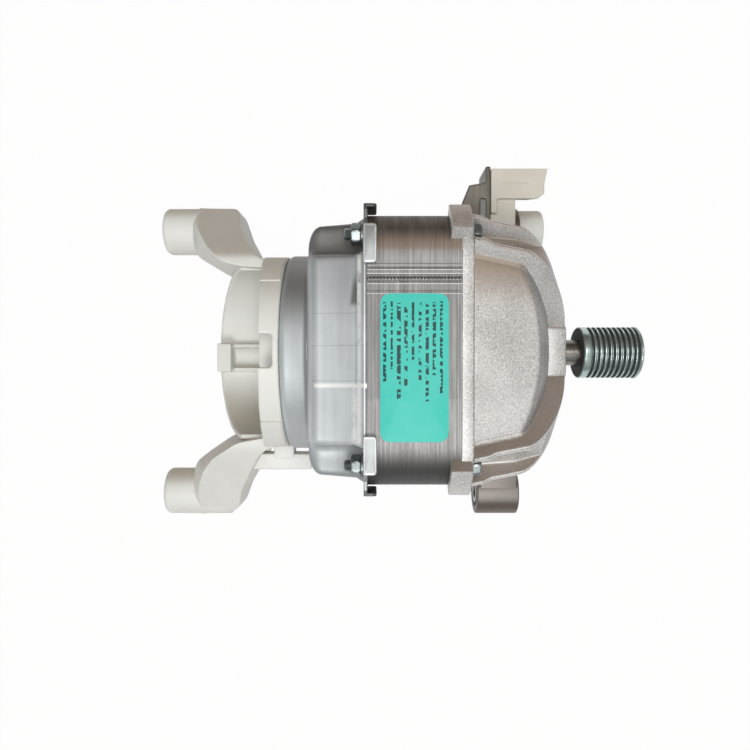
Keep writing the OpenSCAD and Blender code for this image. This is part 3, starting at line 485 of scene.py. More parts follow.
class Paint:
    """Builds one node tree."""

    def __init__(self, tree: bpy.types.NodeTree) -> None:
        """Starts from an emptied tree."""
        self.tree = tree
        tree.nodes.clear()

    def add(self, kind: str, settings: Given = None, inputs: Given = None, output: int | str = 0) -> Sock:
        """Adds a node of any type.

        Args:
            kind: The node's type.
            settings: Properties set first; "stops" holds a ramp's places and colours.
            inputs: Values or links, by socket name or number.
            output: The socket to return.

        Returns:
            The chosen output.
        """
        node = self.tree.nodes.new(kind)
        for key, value in (settings or {}).items():
            if key == "stops":
                elements = node.color_ramp.elements
                while len(elements) < len(value):
                    elements.new(1.0)
                for element, (place, colour) in zip(elements, value):
                    element.position, element.color = place, (*colour, 1.0)
            else:
                setattr(node, key, value)
        for key, value in (inputs or {}).items():
            if isinstance(value, Sock):
                self.tree.links.new(value.socket, node.inputs[key])
            elif isinstance(value, tuple) and node.inputs[key].type == "RGBA":
                node.inputs[key].default_value = (*value, 1.0)
            else:
                node.inputs[key].default_value = value
        return Sock(self, node.outputs[output] if node.outputs else None)

    def place(self) -> Sock:
        """Object coordinates in metres."""
        return self.add("ShaderNodeTexCoord", output="Object")

    def split(self, vector: Sock) -> tuple[Sock, ...]:
        """X, Y and Z of a vector."""
        node = self.add("ShaderNodeSeparateXYZ", None, {0: vector}).socket.node
        return tuple(Sock(self, out) for out in node.outputs)

    def axes(self) -> tuple[Sock, ...]:
        """X, Y and Z of the object coordinates, in millimetres."""
        return tuple(part * PER_METRE for part in self.split(self.place()))

    def facing(self) -> tuple[Sock, ...]:
        """X, Y and Z of the face's own normal."""
        return self.split(self.add("ShaderNodeNewGeometry", output="True Normal"))

    def seen(self, *kinds: str) -> Sock:
        """1 for rays of the kinds named, else 0.

        Args:
            kinds: Names of rays, such as Camera.

        Returns:
            The mask.
        """
        outputs = self.add("ShaderNodeLightPath").socket.node.outputs
        first, *others = (Sock(self, outputs[f"Is {kind} Ray"]) for kind in kinds)
        for other in others:
            first = first.math("MAXIMUM", first, other)
        return first

    def noise(self, size: float, detail: float, stretch: Place = EVEN, rough: float = 0.5) -> Sock:
        """Noise whose features are about size millimetres, drawn out along each axis by stretch.

        Args:
            size: Size of a feature in millimetres.
            detail: Number of finer layers.
            stretch: How far it is drawn out along X, Y and Z.
            rough: Weight of the finer layers.

        Returns:
            Values about 0.5, between 0 and 1.
        """
        scaled = self.add("ShaderNodeMapping", None, {0: self.place(), 3: tuple(1 / s for s in stretch)})
        given = {"Vector": scaled, "Scale": PER_METRE / size, "Detail": detail, "Roughness": rough}
        return self.add("ShaderNodeTexNoise", None, given)

    def mix(self, amount: Any, a: Any, b: Any) -> Sock:
        """Colour between a and b."""
        return self.add("ShaderNodeMix", {"data_type": "RGBA"}, {0: amount, 6: a, 7: b}, output=2)

    def layers(self, base: Sock, *coats: tuple[Any, Colour]) -> Sock:
        """The base colour under coats, each an amount and a colour.

        Args:
            base: Colour of the ground.
            coats: The coats, lowest first.

        Returns:
            The colour on top.
        """
        for amount, colour in coats:
            base = self.mix(amount, base, colour)
        return base

    def bump(self, height: Sock, depth: float, strength: float = 1.0) -> Sock:
        """A normal from a height of 0 to 1, as deep as depth in millimetres."""
        given = {"Height": height, "Distance": depth * MM, "Strength": strength}
        return self.add("ShaderNodeBump", None, given)

    def surface(self, **inputs: Any) -> None:
        """Ends the tree in a Principled shader, its sockets' names written with underscores.

        Args:
            inputs: Values or links of the shader's sockets.
        """
        named = {key.replace("_", " "): value for key, value in inputs.items()}
        shader = self.add("ShaderNodeBsdfPrincipled", None, named)
        self.add("ShaderNodeOutputMaterial", None, {"Surface": shader})


def new_paint(name: str) -> tuple[bpy.types.Material, Paint]:
    """A new material and the builder of its tree.

    Args:
        name: Name of the material.

    Returns:
        The material and the builder.
    """
    material = bpy.data.materials.new(name)
    material.use_nodes = True
    return material, Paint(material.node_tree)


# Finishes


@dataclass(frozen=True)
class Finish:
    """What every finish has: a name, and two colours that it wanders between."""

    name: str
    colour: Colour
    shade: Colour

    def paint(self, p: Paint) -> None:
        """Fills the material's tree."""
        raise NotImplementedError

    def build(self) -> bpy.types.Material:
        """Makes the material.

        Returns:
            The new material.
        """
        material, p = new_paint(self.name)
        self.paint(p)
        return material


@dataclass(frozen=True)
class CastMetal(Finish):
    """Die-cast metal: an open, sparkling grain under a soft sheen."""

    rough: float = 0.46
    grain: float = 0.5
    pit: Colour = (0.09, 0.08, 0.07)
    fleck: Colour = (0.93, 0.92, 0.90)
    highlight_colour: Colour = (0.95, 0.95, 0.94)

    def painted_light(self, p: Paint, base: Sock) -> tuple[Sock, Any, Any]:
        """The colour with its painted shade, how dull that leaves the grain, and its painted highlights."""
        return base, 0.0, 0.0

    def paint(self, p: Paint) -> None:
        """Pits and flecks the metal with fine grain, over its painted shade and under its painted
        highlights.

        Args:
            p: Builder of the material's tree.
        """
        grain = p.noise(self.grain, 4, rough=0.75)
        base = p.mix(p.noise(16, 3).eased(0.35, 0.7), self.colour, self.shade)
        base, dull, painted_highlight = self.painted_light(p, base)
        pits = (1 - grain.eased(0.34, 0.54)) * (0.46 - 0.34 * dull)
        flecks = grain.eased(0.54, 0.66) * (0.6 - 0.56 * dull)
        base = p.layers(base, (pits, self.pit), (flecks, self.fleck), (painted_highlight, self.highlight_colour))
        normal = p.bump(grain + p.noise(0.28, 2) * 0.5, 0.1, 0.9)
        p.surface(Base_Color=base, Metallic=0.55, Roughness=self.rough + grain * 0.16, Normal=normal)


@dataclass(frozen=True)
class BellCasting(CastMetal):
    """The bell's casting, with painted shade where it looks to the pulley or to +Y, darker low down, and
    painted highlights along its arms' rims.
    """

    # Colour of the painted shade on faces that look to the pulley.
    front_shade: Colour = (0.23, 0.225, 0.22)
    # Colour of the painted shade on what looks or lies to +Y.
    brown: Colour = (0.335, 0.26, 0.20)
    bottom_tone: Colour = (0.15, 0.125, 0.105)
    panel_x: float = -70.5
    brown_shade_y: Pair = (14, 34)
    bottom_tone_z: Pair = (-36, -18)
    sheen_y: Pair = (-32, 8)
    # Distances of the painted highlight lines from each arm's middle.
    rims: Pair = (8.95, 7.38)
    rim_width: float = 0.2
    rim_x: Pair = (-69.0, -31.0)
    rim_r: float = 46.0

    def painted_light(self, p: Paint, base: Sock) -> tuple[Sock, Any, Any]:
        """Paints shade on what looks to the pulley and a brownish shade on what looks or lies to +Y,
        and darkens what lies low.

        The painted highlights are thin lines at set distances from the middle of each arm, which
        lies where |Y| is |Z|. The panel has a faint painted sheen towards -Y.

        Args:
            p: Builder of the material's tree.
            base: Colour so far.

        Returns:
            The colour with its painted shade and darkening, how dull it is, and its painted highlights.
        """
        x, y, z = p.axes()
        nx, ny, nz = p.facing()
        # Painted brownish shade on the panel towards +Y and on faces that look to +Y.
        brown_shading = y.eased(*self.brown_shade_y) * nz.eased(0.8, 0.95) * (x > self.panel_x) * 0.9
        brown_shading = brown_shading + ny.eased(0.2, 0.7) * 0.72
        # Darker towards the bottom.
        low = 1 - z.eased(*self.bottom_tone_z)
        # Painted shade on faces that look to the pulley.
        end = nx.eased(0.18, 0.7) * 0.68
        base = p.layers(base, (end, self.front_shade), (brown_shading, self.brown), (low, self.bottom_tone))
        # Painted highlights: thin bright lines along each arm's rims.
        aside = (y.size() - z.size()).size() / DIAGONAL
        out = (y.size() + z.size()) / DIAGONAL
        lines = aside.near(self.rims[0], self.rim_width) + aside.near(self.rims[1], self.rim_width)
        painted_highlight = lines * x.within(*self.rim_x) * (out > self.rim_r) * p.noise(3, 2).eased(0.25, 0.42)
        # Painted sheen on the panel towards -Y.
        sheen = (1 - y.eased(*self.sheen_y)) * nz.eased(0.9, 0.98)
        return base, brown_shading + low, painted_highlight * 0.85 + sheen * 0.12


@dataclass(frozen=True)
class PressedMetal(Finish):
    """Zinc-coated sheet: faint drawing lines along one axis, a cloud and sparse specks."""

    rough: float = 0.3
    lines: Place = (1, 14, 14)
    metallic: float = 0.75
    speck: Colour = (0.18, 0.19, 0.2)

    def shade_and_highlights(self, p: Paint, base: Sock) -> Sock:
        """The colour with painted shade and highlights of its own; plain sheet has none."""
        return base

    def paint(self, p: Paint) -> None:
        """Tints the sheet with drawn-out noise, and darkens it with sparse specks.

        Args:
            p: Builder of the material's tree.
        """
        drawn, cloud = p.noise(2.2, 3, self.lines), p.noise(13, 4)
        tint = drawn.eased(0.25, 0.75) * 0.5 + cloud.eased(0.3, 0.7) * 0.5
        specks = p.noise(1.1, 2).eased(0.7, 0.76) * 0.45
        base = self.shade_and_highlights(p, p.layers(p.mix(tint, self.colour, self.shade), (specks, self.speck)))
        normal = p.bump(drawn + cloud * 0.6, 0.05, 0.5)
        rough = self.rough + cloud * 0.18
        p.surface(Base_Color=base, Metallic=self.metallic, Roughness=rough, Normal=normal)


@dataclass(frozen=True)
class CoverSteel(PressedMetal):
    """The cover's sheet, with painted shade on its flanks, tabs and shoulder and along its creases, and
    painted highlights at its foot.
    """

    foot_x: float = -115.4
    glow_x: float = -116.6
    shoulder_x: float = -137.2
    face_z: float = 50.0
    face_half: float = 36.5
    creases: tuple[float, ...] = (14.3, 1.7, -12.0)
    crease_half: float = 0.14
    wedge_y: tuple[Pair, Pair] = ((16, 19), (24, 31))
    wedge_far: float = 36
    wedge_slope: float = 0.12
    streak_y: float = -13.8
    glow_y: Pair = (-18, -12)
    shade_y: Pair = (2, 36)
    lobe_y: Pair = (37.5, 43)
    low_band_shade_y: Pair = (-46, -38)
    tab_z: float = 55.6
    tab_mid: Pair = (-111.2, 40.5)
    tab_half: Pair = (1.9, 6.5)
    plate_z: Pair = (54.6, 55.35)
    plate_x: float = -113.1
    bright: Colour = (0.97, 0.98, 0.98)

    def shade_and_highlights(self, p: Paint, base: Sock) -> Sock:
        """Adds painted shade and painted highlights: each is a band of X or Y, or follows the way a face
        looks.

        Args:
            p: Builder of the material's tree.
            base: Colour so far.

        Returns:
            The colour with its painted shade and highlights.
        """
        x, y, z = p.axes()
        ny = p.facing()[1]
        face = (z > self.face_z) * (y.size() < self.face_half)
        tab = z > self.tab_z
        middle = y.size().near(self.tab_mid[1], self.tab_half[1]) * x.near(self.tab_mid[0], self.tab_half[0])
        # Painted shade on the plate's edge where it meets the stack.
        edge = z.within(*self.plate_z) * (x > self.plate_x)
        # Painted shade along the creases.
        first, *others = (y.near(place, self.crease_half) for place in self.creases)
        creases = sum(others, first) * face * (x > self.shoulder_x + 3)
        # Painted shade in a narrow band by the flange's foot.
        start, stop = self.wedge_y
        rise = x - self.foot_x + (self.wedge_far - y) * self.wedge_slope
        wedge = face * (rise.eased(-2.2, -0.4) * (x < self.foot_x - 0.9))
        wedge = wedge * y.eased(*start) * (1 - y.eased(*stop))
        # Painted highlights: a streak across the face, a line at the foot and a glow before it.
        streak = y.fading(self.streak_y, 0.1, 1.4) * (x > self.shoulder_x + 4)
        foot = x.fading(self.foot_x, 0.3, 1.1)
        glow = x.fading(self.glow_x, 0.2, 2.4) * (1 - y.eased(*self.glow_y)) * 0.7
        shine = (streak + foot + glow) * face * p.noise(4, 3).eased(0.2, 0.5)
        # Painted shade on faces that look to +Y or -Y, in bands towards +Y and at the -Y end, on the tabs at
        # +Y and -Y and along the shoulder.
        near_flank, far_flank = ny.eased(0.15, 0.75), (ny * -1.0).eased(0.3, 0.9)
        shaded = y.eased(*self.shade_y) * 0.4 + y.eased(*self.lobe_y) * 0.48
        outside = y.size() > self.tab_z
        bend = x.fading(self.shoulder_x, 0.3, 1.6)
        return p.layers(
            base,
            (near_flank * 0.8, (0.16, 0.15, 0.135)),
            (far_flank * 0.45, (0.25, 0.26, 0.26)),
            (shaded, (0.13, 0.125, 0.115)),
            ((1 - y.eased(*self.low_band_shade_y)) * 0.6, (0.24, 0.26, 0.26)),
            # Painted shade in the tabs' middles and painted highlights on their rims.
            (tab * middle * 0.5, (0.28, 0.29, 0.29)),
            (tab * (1 - middle) * 0.35, (0.9, 0.92, 0.93)),
            (edge * 0.8, (0.07, 0.07, 0.07)),
            (outside * 0.85, (0.05, 0.05, 0.05)),
            (bend * 0.55, (0.12, 0.13, 0.13)),
            (creases * 0.4, (0.2, 0.21, 0.22)),
            (wedge * 0.8, (0.10, 0.10, 0.095)),
            (shine * 0.9, self.bright),
        )


@dataclass(frozen=True)
class SheetStack(Finish):
    """Edges of stacked laminations: every sheet along X has its own shade."""

    pitch: float = 0.5
    # Places of the painted highlights on the grooves' rims.
    rims: tuple[float, ...] = (32.75, 30.8, 29.25, 25.35, 21.65)
    rim_half: float = 0.17
    weld: float = 27.6
    weld_half: float = 0.4
    bead: float = 1.3
    side_z: float = 53.5
    low_corner_shade_y: Pair = (-48, -35)
    warm_shade_y: tuple[Pair, Pair] = ((37.5, 39.5), (43, 47))
    brown_shade_y: Pair = (41, 48)

    def paint(self, p: Paint) -> None:
        """Gives each sheet its shade and relief by white noise on its number.

        The rims of the weld grooves carry painted highlights, the seam is dotted dark, the corner
        at +Y has a warm band under a dark brownish painted shade, and painted shade darkens
        the stack towards -Y.

        Args:
            p: Builder of the material's tree.
        """
        x, y, z = p.axes()
        along = x / self.pitch
        own = p.add("ShaderNodeTexWhiteNoise", {"noise_dimensions": "1D"}, {"W": along.math("FLOOR", along)})
        seam = (along.fraction() - 0.5).size().eased(0.3, 0.5)
        smear = p.noise(1.6, 3, (1, 9, 9))
        side = z > self.side_z
        first, *others = (y.near(place, self.rim_half) for place in self.rims)
        dots = y.near(self.weld, self.weld_half) * ((x / self.bead).fraction() > 0.3)
        start, stop = self.warm_shade_y
        warm_shade = y.eased(*start) * (1 - y.eased(*stop)) * 0.5
        # Painted shade towards -Y and at the corner towards +Y; painted highlights on the grooves' rims.
        base = p.layers(
            p.mix((own * 0.6 + smear * 0.7).eased(0.2, 1.0), self.colour, self.shade),
            (1 - y.eased(*self.low_corner_shade_y), (0.085, 0.085, 0.085)),
            (warm_shade, (0.40, 0.25, 0.15)),
            (y.eased(*self.brown_shade_y) * (0.75 + smear * 0.3), (0.085, 0.058, 0.038)),
            (seam * 0.55, (0.05, 0.045, 0.045)),
            (sum(others, first) * side * 0.85, (0.85, 0.85, 0.85)),
            (dots * side * 0.8, (0.03, 0.03, 0.03)),
        )
        normal = p.bump(own * 0.5 - seam, 0.12, 0.7)
        p.surface(Base_Color=base, Metallic=0.6, Roughness=0.42 + smear * 0.2, Normal=normal)


@dataclass(frozen=True)
class Moulding(Finish):
    """Moulded plastic: even colour with a faint cloud, a fine skin and sparse flecks."""

    rough: float = 0.42
    depth: float = 0.03
    side_shade: float = 0.0
    fleck: Colour = (0.35, 0.33, 0.3)
    # Colour of the painted shade where a face looks to +Y.
    tint: Colour = (0.40, 0.33, 0.23)

    def paint(self, p: Paint) -> None:
        """Lays a wide cloud between close colours over a pitted skin, with painted shade where it looks to
        +Y.

        Args:
            p: Builder of the material's tree.
        """
        cloud, skin = p.noise(24, 3), p.noise(0.5, 3)
        flecks = p.noise(1.4, 2).eased(0.72, 0.78) * 0.25
        # Painted shade on faces that look to +Y.
        side = p.facing()[1].eased(0.3, 0.85) * self.side_shade
        base = p.mix(cloud.eased(0.35, 0.68), self.colour, self.shade)
        base = p.layers(base, (flecks, self.fleck), (side, self.tint))
        normal = p.bump(skin + cloud * 0.5, self.depth, 0.6)
        p.surface(Base_Color=base, Roughness=self.rough + skin * 0.12, Normal=normal)


@dataclass(frozen=True)
class TurnedMetal(Finish):
    """Turned or ground steel: fine rings round the shaft, with stains between them."""

    rough: float = 0.24
    ring: float = 0.35
    end_shade: float = 0.0
    # Colour of the painted shade on the end that looks to -X.
    dark: Colour = (0.02, 0.02, 0.018)

    def paint(self, p: Paint) -> None:
        """Makes rings by noise on X alone and stains by a cloud; the end that looks to -X gets painted shade
        and is made rougher and less metallic.

        Args:
            p: Builder of the material's tree.
        """
        along = {"W": p.axes()[0] / self.ring, "Scale": 1.0, "Detail": 3.0}
        turned = p.add("ShaderNodeTexNoise", {"noise_dimensions": "1D"}, along)
        cloud = p.noise(5, 3)
        # Painted shade on the end that looks to -X.
        end = (p.facing()[0] * -1.0).eased(0.5, 0.9) * self.end_shade
        tint = turned.eased(0.3, 0.7) * 0.6 + cloud.eased(0.4, 0.7) * 0.4
        base = p.layers(p.mix(tint, self.colour, self.shade), (end, self.dark))
        rough = self.rough + cloud * 0.16 + end * 0.5
        normal = p.bump(turned, 0.02, 0.6)
        p.surface(Base_Color=base, Metallic=0.9 - end * 0.9, Roughness=rough, Normal=normal)


@dataclass(frozen=True)
class Film(Finish):
    """Printed label film: plain dark bars in rows along Y, with no lettering.

    Each bar is its width, its upper end and its length; the bars lie side by side along X.
    """

    first_x: float = -105.6
    bar_pitch: float = 2.72
    dash: Pair = (3.1, 1.5)
    cloud: Colour = (0.5, 0.95, 0.88)
    bars: tuple[tuple[float, float, float], ...] = (
        (1.25, 18.3, 31), (0.8, 18.6, 26), (1.5, 18.0, 37), (1.3, 18.2, 33), (1.0, 18.2, 22),
        (1.2, 18.4, 30), (1.25, 18.2, 38), (1.3, 18.3, 28), (1.1, 18.6, 36),
    )

    def paint(self, p: Paint) -> None:
        """Makes each bar a box of X and Y, broken into uneven dashes by noise along Y.

        Args:
            p: Builder of the material's tree.
        """
        x, y, _ = p.axes()
        flat = p.add("ShaderNodeCombineXYZ", None, {0: x / self.dash[0], 1: y / self.dash[1]})
        given = {"Vector": flat, "Scale": 1.0, "Detail": 0.0}
        dashes = p.add("ShaderNodeTexNoise", {"noise_dimensions": "2D"}, given)
        first, *others = (
            x.near(self.first_x + self.bar_pitch * i, width / 2) * y.within(top - length, top)
            for i, (width, top, length) in enumerate(self.bars)
        )
        ink = sum(others, first) * dashes.eased(0.4, 0.5)
        film = p.mix(p.noise(9, 2).eased(0.3, 0.7) * 0.05, self.colour, self.cloud)
        base = p.layers(film, (ink * 0.97, self.shade))
        normal = p.bump(p.noise(6, 2), 0.02, 0.5)
        p.surface(Base_Color=base, Roughness=0.4, Specular_IOR_Level=0.25, Normal=normal)


@dataclass(frozen=True)
class Winding(Finish):
    """Enamelled wire laid side by side, seen as fine ridges across each coil."""

    wire: float = 0.8

    def paint(self, p: Paint) -> None:
        """Makes a wave one wire apart with the distance from the shaft, under varnish, with painted shade
        where the wires meet.

        Args:
            p: Builder of the material's tree.
        """
        _, y, z = p.axes()
        ridge = 1 - (((y * y + z * z) ** 0.5 / self.wire).fraction() * 2 - 1).size()
        # Painted shade between the wires: the colour darkens at the wave's low parts.
        base = p.mix(ridge.eased(0.1, 0.6), self.shade, self.colour)
        rough, normal = 0.3 + p.noise(4, 2) * 0.2, p.bump(ridge, 0.25, 0.8)
        p.surface(Base_Color=base, Metallic=0.4, Roughness=rough, Normal=normal, Coat_Weight=0.4)


class Finishes:
    """Every finish of the motor, built once when it is first asked for."""

    def __init__(self) -> None:
        """Lists the finishes by the record's slot names."""
        self._made: dict[str, bpy.types.Material] = {}
        self._listed: dict[str, Finish] = {
            "cover_steel": CoverSteel(
                "pressed_cover", (0.64, 0.69, 0.715), (0.52, 0.56, 0.58), 0.32, metallic=0.4
            ),
            "cast_aluminium": BellCasting("cast_bell", (0.68, 0.67, 0.655), (0.56, 0.55, 0.535), 0.36, 0.7),
            "lamination_steel": SheetStack("lamination_edges", (0.49, 0.485, 0.485), (0.34, 0.335, 0.335)),
            "insulator_plastic": Moulding("insulator_white", (0.84, 0.82, 0.76), (0.78, 0.76, 0.7)),
            "winding_wire": Winding("enamelled_wire", (0.62, 0.27, 0.1), (0.3, 0.1, 0.03)),
            "magnet_ferrite": CastMetal("ground_ferrite", (0.07, 0.07, 0.08), (0.05, 0.05, 0.055), 0.55),
            "ring_aluminium": TurnedMetal("turned_aluminium", (0.62, 0.62, 0.64), (0.5, 0.5, 0.52), 0.34),
            "shaft_steel": TurnedMetal("ground_shaft", (0.34, 0.33, 0.30), (0.12, 0.11, 0.10), 0.2),
            "pulley_steel": TurnedMetal(
                "turned_pulley", (0.56, 0.68, 0.66), (0.24, 0.31, 0.30), 0.18, end_shade=0.9
            ),
            "seal_rubber": Moulding("black_rubber", (0.018, 0.018, 0.019), (0.03, 0.03, 0.03), 0.62, 0.08),
            "bearing_steel": TurnedMetal("ground_bearing", (0.6, 0.61, 0.63), (0.5, 0.51, 0.53), 0.16),
            "bearing_shield": Moulding(
                "shield_rubber", (0.05, 0.05, 0.055), (0.035, 0.035, 0.04), 0.5, 0.05
            ),
            "cage_brass": TurnedMetal("pressed_brass", (0.66, 0.47, 0.16), (0.5, 0.34, 0.1), 0.3),
            "spring_steel": PressedMetal("spring_steel", (0.36, 0.36, 0.38), (0.25, 0.25, 0.27)),
            "circuit_board": Moulding("board_green", (0.02, 0.16, 0.05), (0.015, 0.12, 0.04), 0.3, 0.04),
            "sensor_black": Moulding("sensor_black", (0.02, 0.02, 0.022), (0.03, 0.03, 0.03), 0.4),
            "fastener_zinc": PressedMetal(
                "plated_zinc", (0.28, 0.31, 0.31), (0.14, 0.17, 0.17), 0.24, EVEN, 0.85
            ),
            "bracket_plastic": Moulding(
                "bracket_white", (0.81, 0.82, 0.79), (0.765, 0.77, 0.73), 0.4, 0.05, 0.5
            ),
            "sleeve_steel": TurnedMetal("rolled_sleeve", (0.42, 0.43, 0.43), (0.3, 0.31, 0.31), 0.3),
            "plate_steel": PressedMetal(
                "bracket_plate", (0.20, 0.185, 0.16), (0.10, 0.09, 0.075), 0.36, metallic=0.5
            ),
            "connector_plastic": Moulding(
                "connector_cream", (0.69, 0.67, 0.59), (0.64, 0.61, 0.53), 0.38, 0.05
            ),
            "blade_brass": TurnedMetal("tinned_brass", (0.6, 0.5, 0.26), (0.5, 0.4, 0.2), 0.28),
            "label_film": Film("label_film", (0.055, 0.60, 0.51), (0.012, 0.05, 0.05)),
        }

    def get(self, slot: str) -> bpy.types.Material:
        """The material of a slot.

        Args:
            slot: The record's material slot.

        Returns:
            The material, made at the first call.
        """
        if slot not in self._made:
            self._made[slot] = self._listed[slot].build()
        return self._made[slot]

    def dress(self, piece: bpy.types.Object, slot: str) -> None:
        """Gives a piece, or a CAD node that stays, the one material of a slot."""
        piece.data.materials.clear()
        piece.data.materials.append(self.get(slot))


@dataclass
class Workshop:
    """The loaded frame and the finishes, and the one way in which a piece joins the object."""

    frame: dict[str, Any]
    finishes: Finishes

    def seat(self, piece: bpy.types.Object, slot: str, *nodes: str, body: str = "housing") -> None:
        """Dresses a new piece, lets it ride on its body and names the nodes that it stands for.

        Args:
            piece: The new object.
            slot: The record's material slot.
            nodes: CAD nodes that the piece takes the place of.
            body: Name of the CAD body.
        """
        self.finishes.dress(piece, slot)
        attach(piece, body)
        if nodes:
            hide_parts(*nodes)
        faces, stands = len(piece.data.polygons), ", ".join(nodes) or "nothing"
        LOG.info("%s: %d faces, rides on %s, stands for %s", piece.name, faces, body, stands)


@dataclass
class Assembly:
    """Places along the shaft and sizes across it that the sub-assemblies share."""

    plate_rear: float = -113.83
    stack_rear: float = -112.33
    stack_front: float = -75.83
    flange_front: float = -70.93
    stack_half: float = 55.2
    stack_corner: float = 19.5
    mount_z: float = -46.8
    columns: int = 480

    def stack_radius(self, theta: Array) -> Array:
        """Radius of the stack's square with its round corners, at each angle.

        Args:
            theta: Angles from +Y about the shaft.

        Returns:
            The radius at each angle.
        """
        half = self.stack_half
        corners = [(half, -half), (half, half), (-half, half), (-half, -half)]
        return radius_at(rounded(corners, self.stack_corner, steps=20), theta)

    def make(self, shop: Workshop) -> None:
        """Builds the sub-assembly's pieces."""
        raise NotImplementedError


# Front bell


@dataclass
class FrontBell(Assembly):
    """The cast bell: a square dome with four channelled arms, a flange with ears, a hub and two lugs.

    The step and the rise of an arm's top are each given as a start and a run along X, with
    heights beside them. The channel's gaps leave the shell clear of the floor, to the sides
    and underneath.
    """

    hub_front: float = -26.53
    panel_half: float = 51.0
    panel_slope: float = 10.5
    corner_r: float = 63.5
    shoulder_r: float = 58.4
    shoulder_x: float = -51.93
    dome_x: float = -33.53
    dome_r: float = 21.2
    dome_power: float = 1.54
    wall: float = 3.6
    wall_lean: float = 0.6
    blend: float = 2.4
    mouth_half: float = 47.4
    mouth_r: float = 55.8
    arm_half: float = 9.4
    arm_r: float = 68.4
    arm_shoulder_x: float = -50.43
    arm_shoulder_r: float = 63.1
    arm_end_r: float = 20.2
    arm_power: float = 1.3
    arm_step_x: Pair = (-66.0, 4.0)
    arm_step: Pair = (0.7, 1.0)
    arm_rise_x: Pair = (-62.0, 11.0)
    arm_rise: float = 0.3
    arm_sunk: float = 4.0
    fillet: float = 1.0
    rim: float = 0.55
    channel_half: float = 7.0
    channel_turns: Pair = (14.0, 16.8)
    channel_levels: tuple[float, ...] = (59.45, 57.65, 53.25, 69.2)
    channel_gap: Pair = (1.2, 0.7)
    channel_lip: float = 0.4
    channel_root: float = 1.0
    hub_half: float = 24.2
    bearing_r: float = 17.6
    hole_r: float = 9.5
    ear_r: float = 24.5
    ear_half: float = 8.0
    ear_len: float = 4.3
    ear_root: float = 6.0
    lug_x: Pair = (-55.33, -33.33)
    lug_r: float = 12.2
    lug_hole_r: float = 8.25
    lug_ys: Pair = (66.0, -74.0)
    web_root: tuple[Pair, Pair] = ((42, -32), (36, -48))
    web_hold: float = 0.94
    web_lean: float = 6.0
    plate_pad: Box = ((-68.33, 45.0, -23.0), (-54.33, 54.0, -3.0))

    def panel(self, x: Array) -> Array:
        """Distance of the flat panels from the axis: it falls by the panel's slope along the bell."""
        return self.panel_half - (x - self.flange_front) * math.tan(math.radians(self.panel_slope))

    def rows(self, wall: float = 0.0) -> Array:
        """Profile of the corners, as (x, r): a straight taper, then the dome, drawn in by the wall.

        Args:
            wall: Thickness to draw in by, 0 for the outside.

        Returns:
            Points as (x, r).
        """
        x = np.linspace(self.flange_front, self.shoulder_x, 14)[:-1]
        radius = np.interp(x, [self.flange_front, self.shoulder_x], [self.corner_r, self.shoulder_r])
        taper = np.stack([x, radius], 1)
        shoulder = dome(self.shoulder_x, self.shoulder_r, self.dome_x, self.dome_r, self.dome_power, 34)
        return np.vstack([taper, shoulder]) - wall * np.array([self.wall_lean, 1.0])

    def shell(self, wall: float) -> Array:
        """Rows of the shell: each radius is the softened smaller of flat panel and round corner.

        Args:
            wall: Thickness to draw in by, 0 for the outside.

        Returns:
            Points as a (rows, columns, 3) array.
        """
        profile = self.rows(wall)
        theta = angles(self.columns)[None, :]
        x, corner = profile[:, :1], profile[:, 1:]
        flat = (self.panel(x) - wall) / np.maximum(np.abs(np.cos(theta)), np.abs(np.sin(theta)))
        r = soft_min(flat, np.broadcast_to(corner, flat.shape), self.blend)
        aside = r * np.abs(np.sin((theta % (math.pi / 2)) - math.pi / 4))
        gap_aside, gap_under = self.channel_gap
        sunk = np.minimum(r, self.channel_floor(x) - gap_under - wall)
        return around(x, np.where(aside < self.channel_half + gap_aside, sunk, r), theta)

    def channel_floor(self, x: Array) -> Array:
        """Radius of the channels' floor: it falls in two steps, then rises out past the arm's rim."""
        turns = [self.shoulder_x + turn for turn in self.channel_turns]
        return np.interp(x, [self.flange_front, self.shoulder_x, *turns], self.channel_levels)

    def body(self, surface: Surface) -> None:
        """Adds the shell as one closed skin: out along the outside and back along the inside.

        Args:
            surface: Where the shape is added.
        """
        outside, inside = self.shell(0.0), self.shell(self.wall)
        foot, mouth = outside[:1].copy(), inside[:1].copy()
        foot[..., 0] = mouth[..., 0] = self.stack_front
        surface.grid(np.concatenate([foot, outside, inside[::-1], mouth]), close_u=True)

    def arm_top(self) -> Array:
        """Profile over an arm, as (x, r): a taper with a low step by the bolt head, then a dome.

        Returns:
            Points as (x, r).
        """
        x = np.linspace(self.flange_front, self.arm_shoulder_x, 22)[:-1]
        line = np.interp(x, [self.flange_front, self.arm_shoulder_x], [self.arm_r, self.arm_shoulder_r])
        step = ramp(x, *self.arm_step_x)
        above, drop = self.arm_step
        line = line + above - drop * step * step * (3 - 2 * step) + self.arm_rise * ramp(x, *self.arm_rise_x)
        end_x = self.hub_front - 0.25
        bend = dome(self.arm_shoulder_x, self.arm_shoulder_r, end_x, self.arm_end_r, self.arm_power, 34)
        return np.vstack([np.stack([x, line], 1), bend])

    def arm(self, surface: Surface, alpha: float) -> None:
        """Adds one arm: a section carried along its profile.

        The half section runs from a filleted foot on the shell up the side wall, over the
        rounded rim, down the channel's wall and along its floor to the middle. Where the
        floor would stand above the rim, it is held to the rim, so the channel runs out.

        Args:
            surface: Where the arm is added.
            alpha: Angle of the arm's middle from +Y.
        """
        profile = self.arm_top()
        x, top = profile[:, :1], profile[:, 1:]
        floor = self.channel_floor(x)
        corner = np.interp(x, *self.rows().T)

        def base(t: float) -> Array:
            """Height of the shell under the arm at a distance t from its middle."""
            return np.minimum(self.panel(x) * DIAGONAL - t, np.sqrt(np.maximum(corner**2 - t * t, 1)))

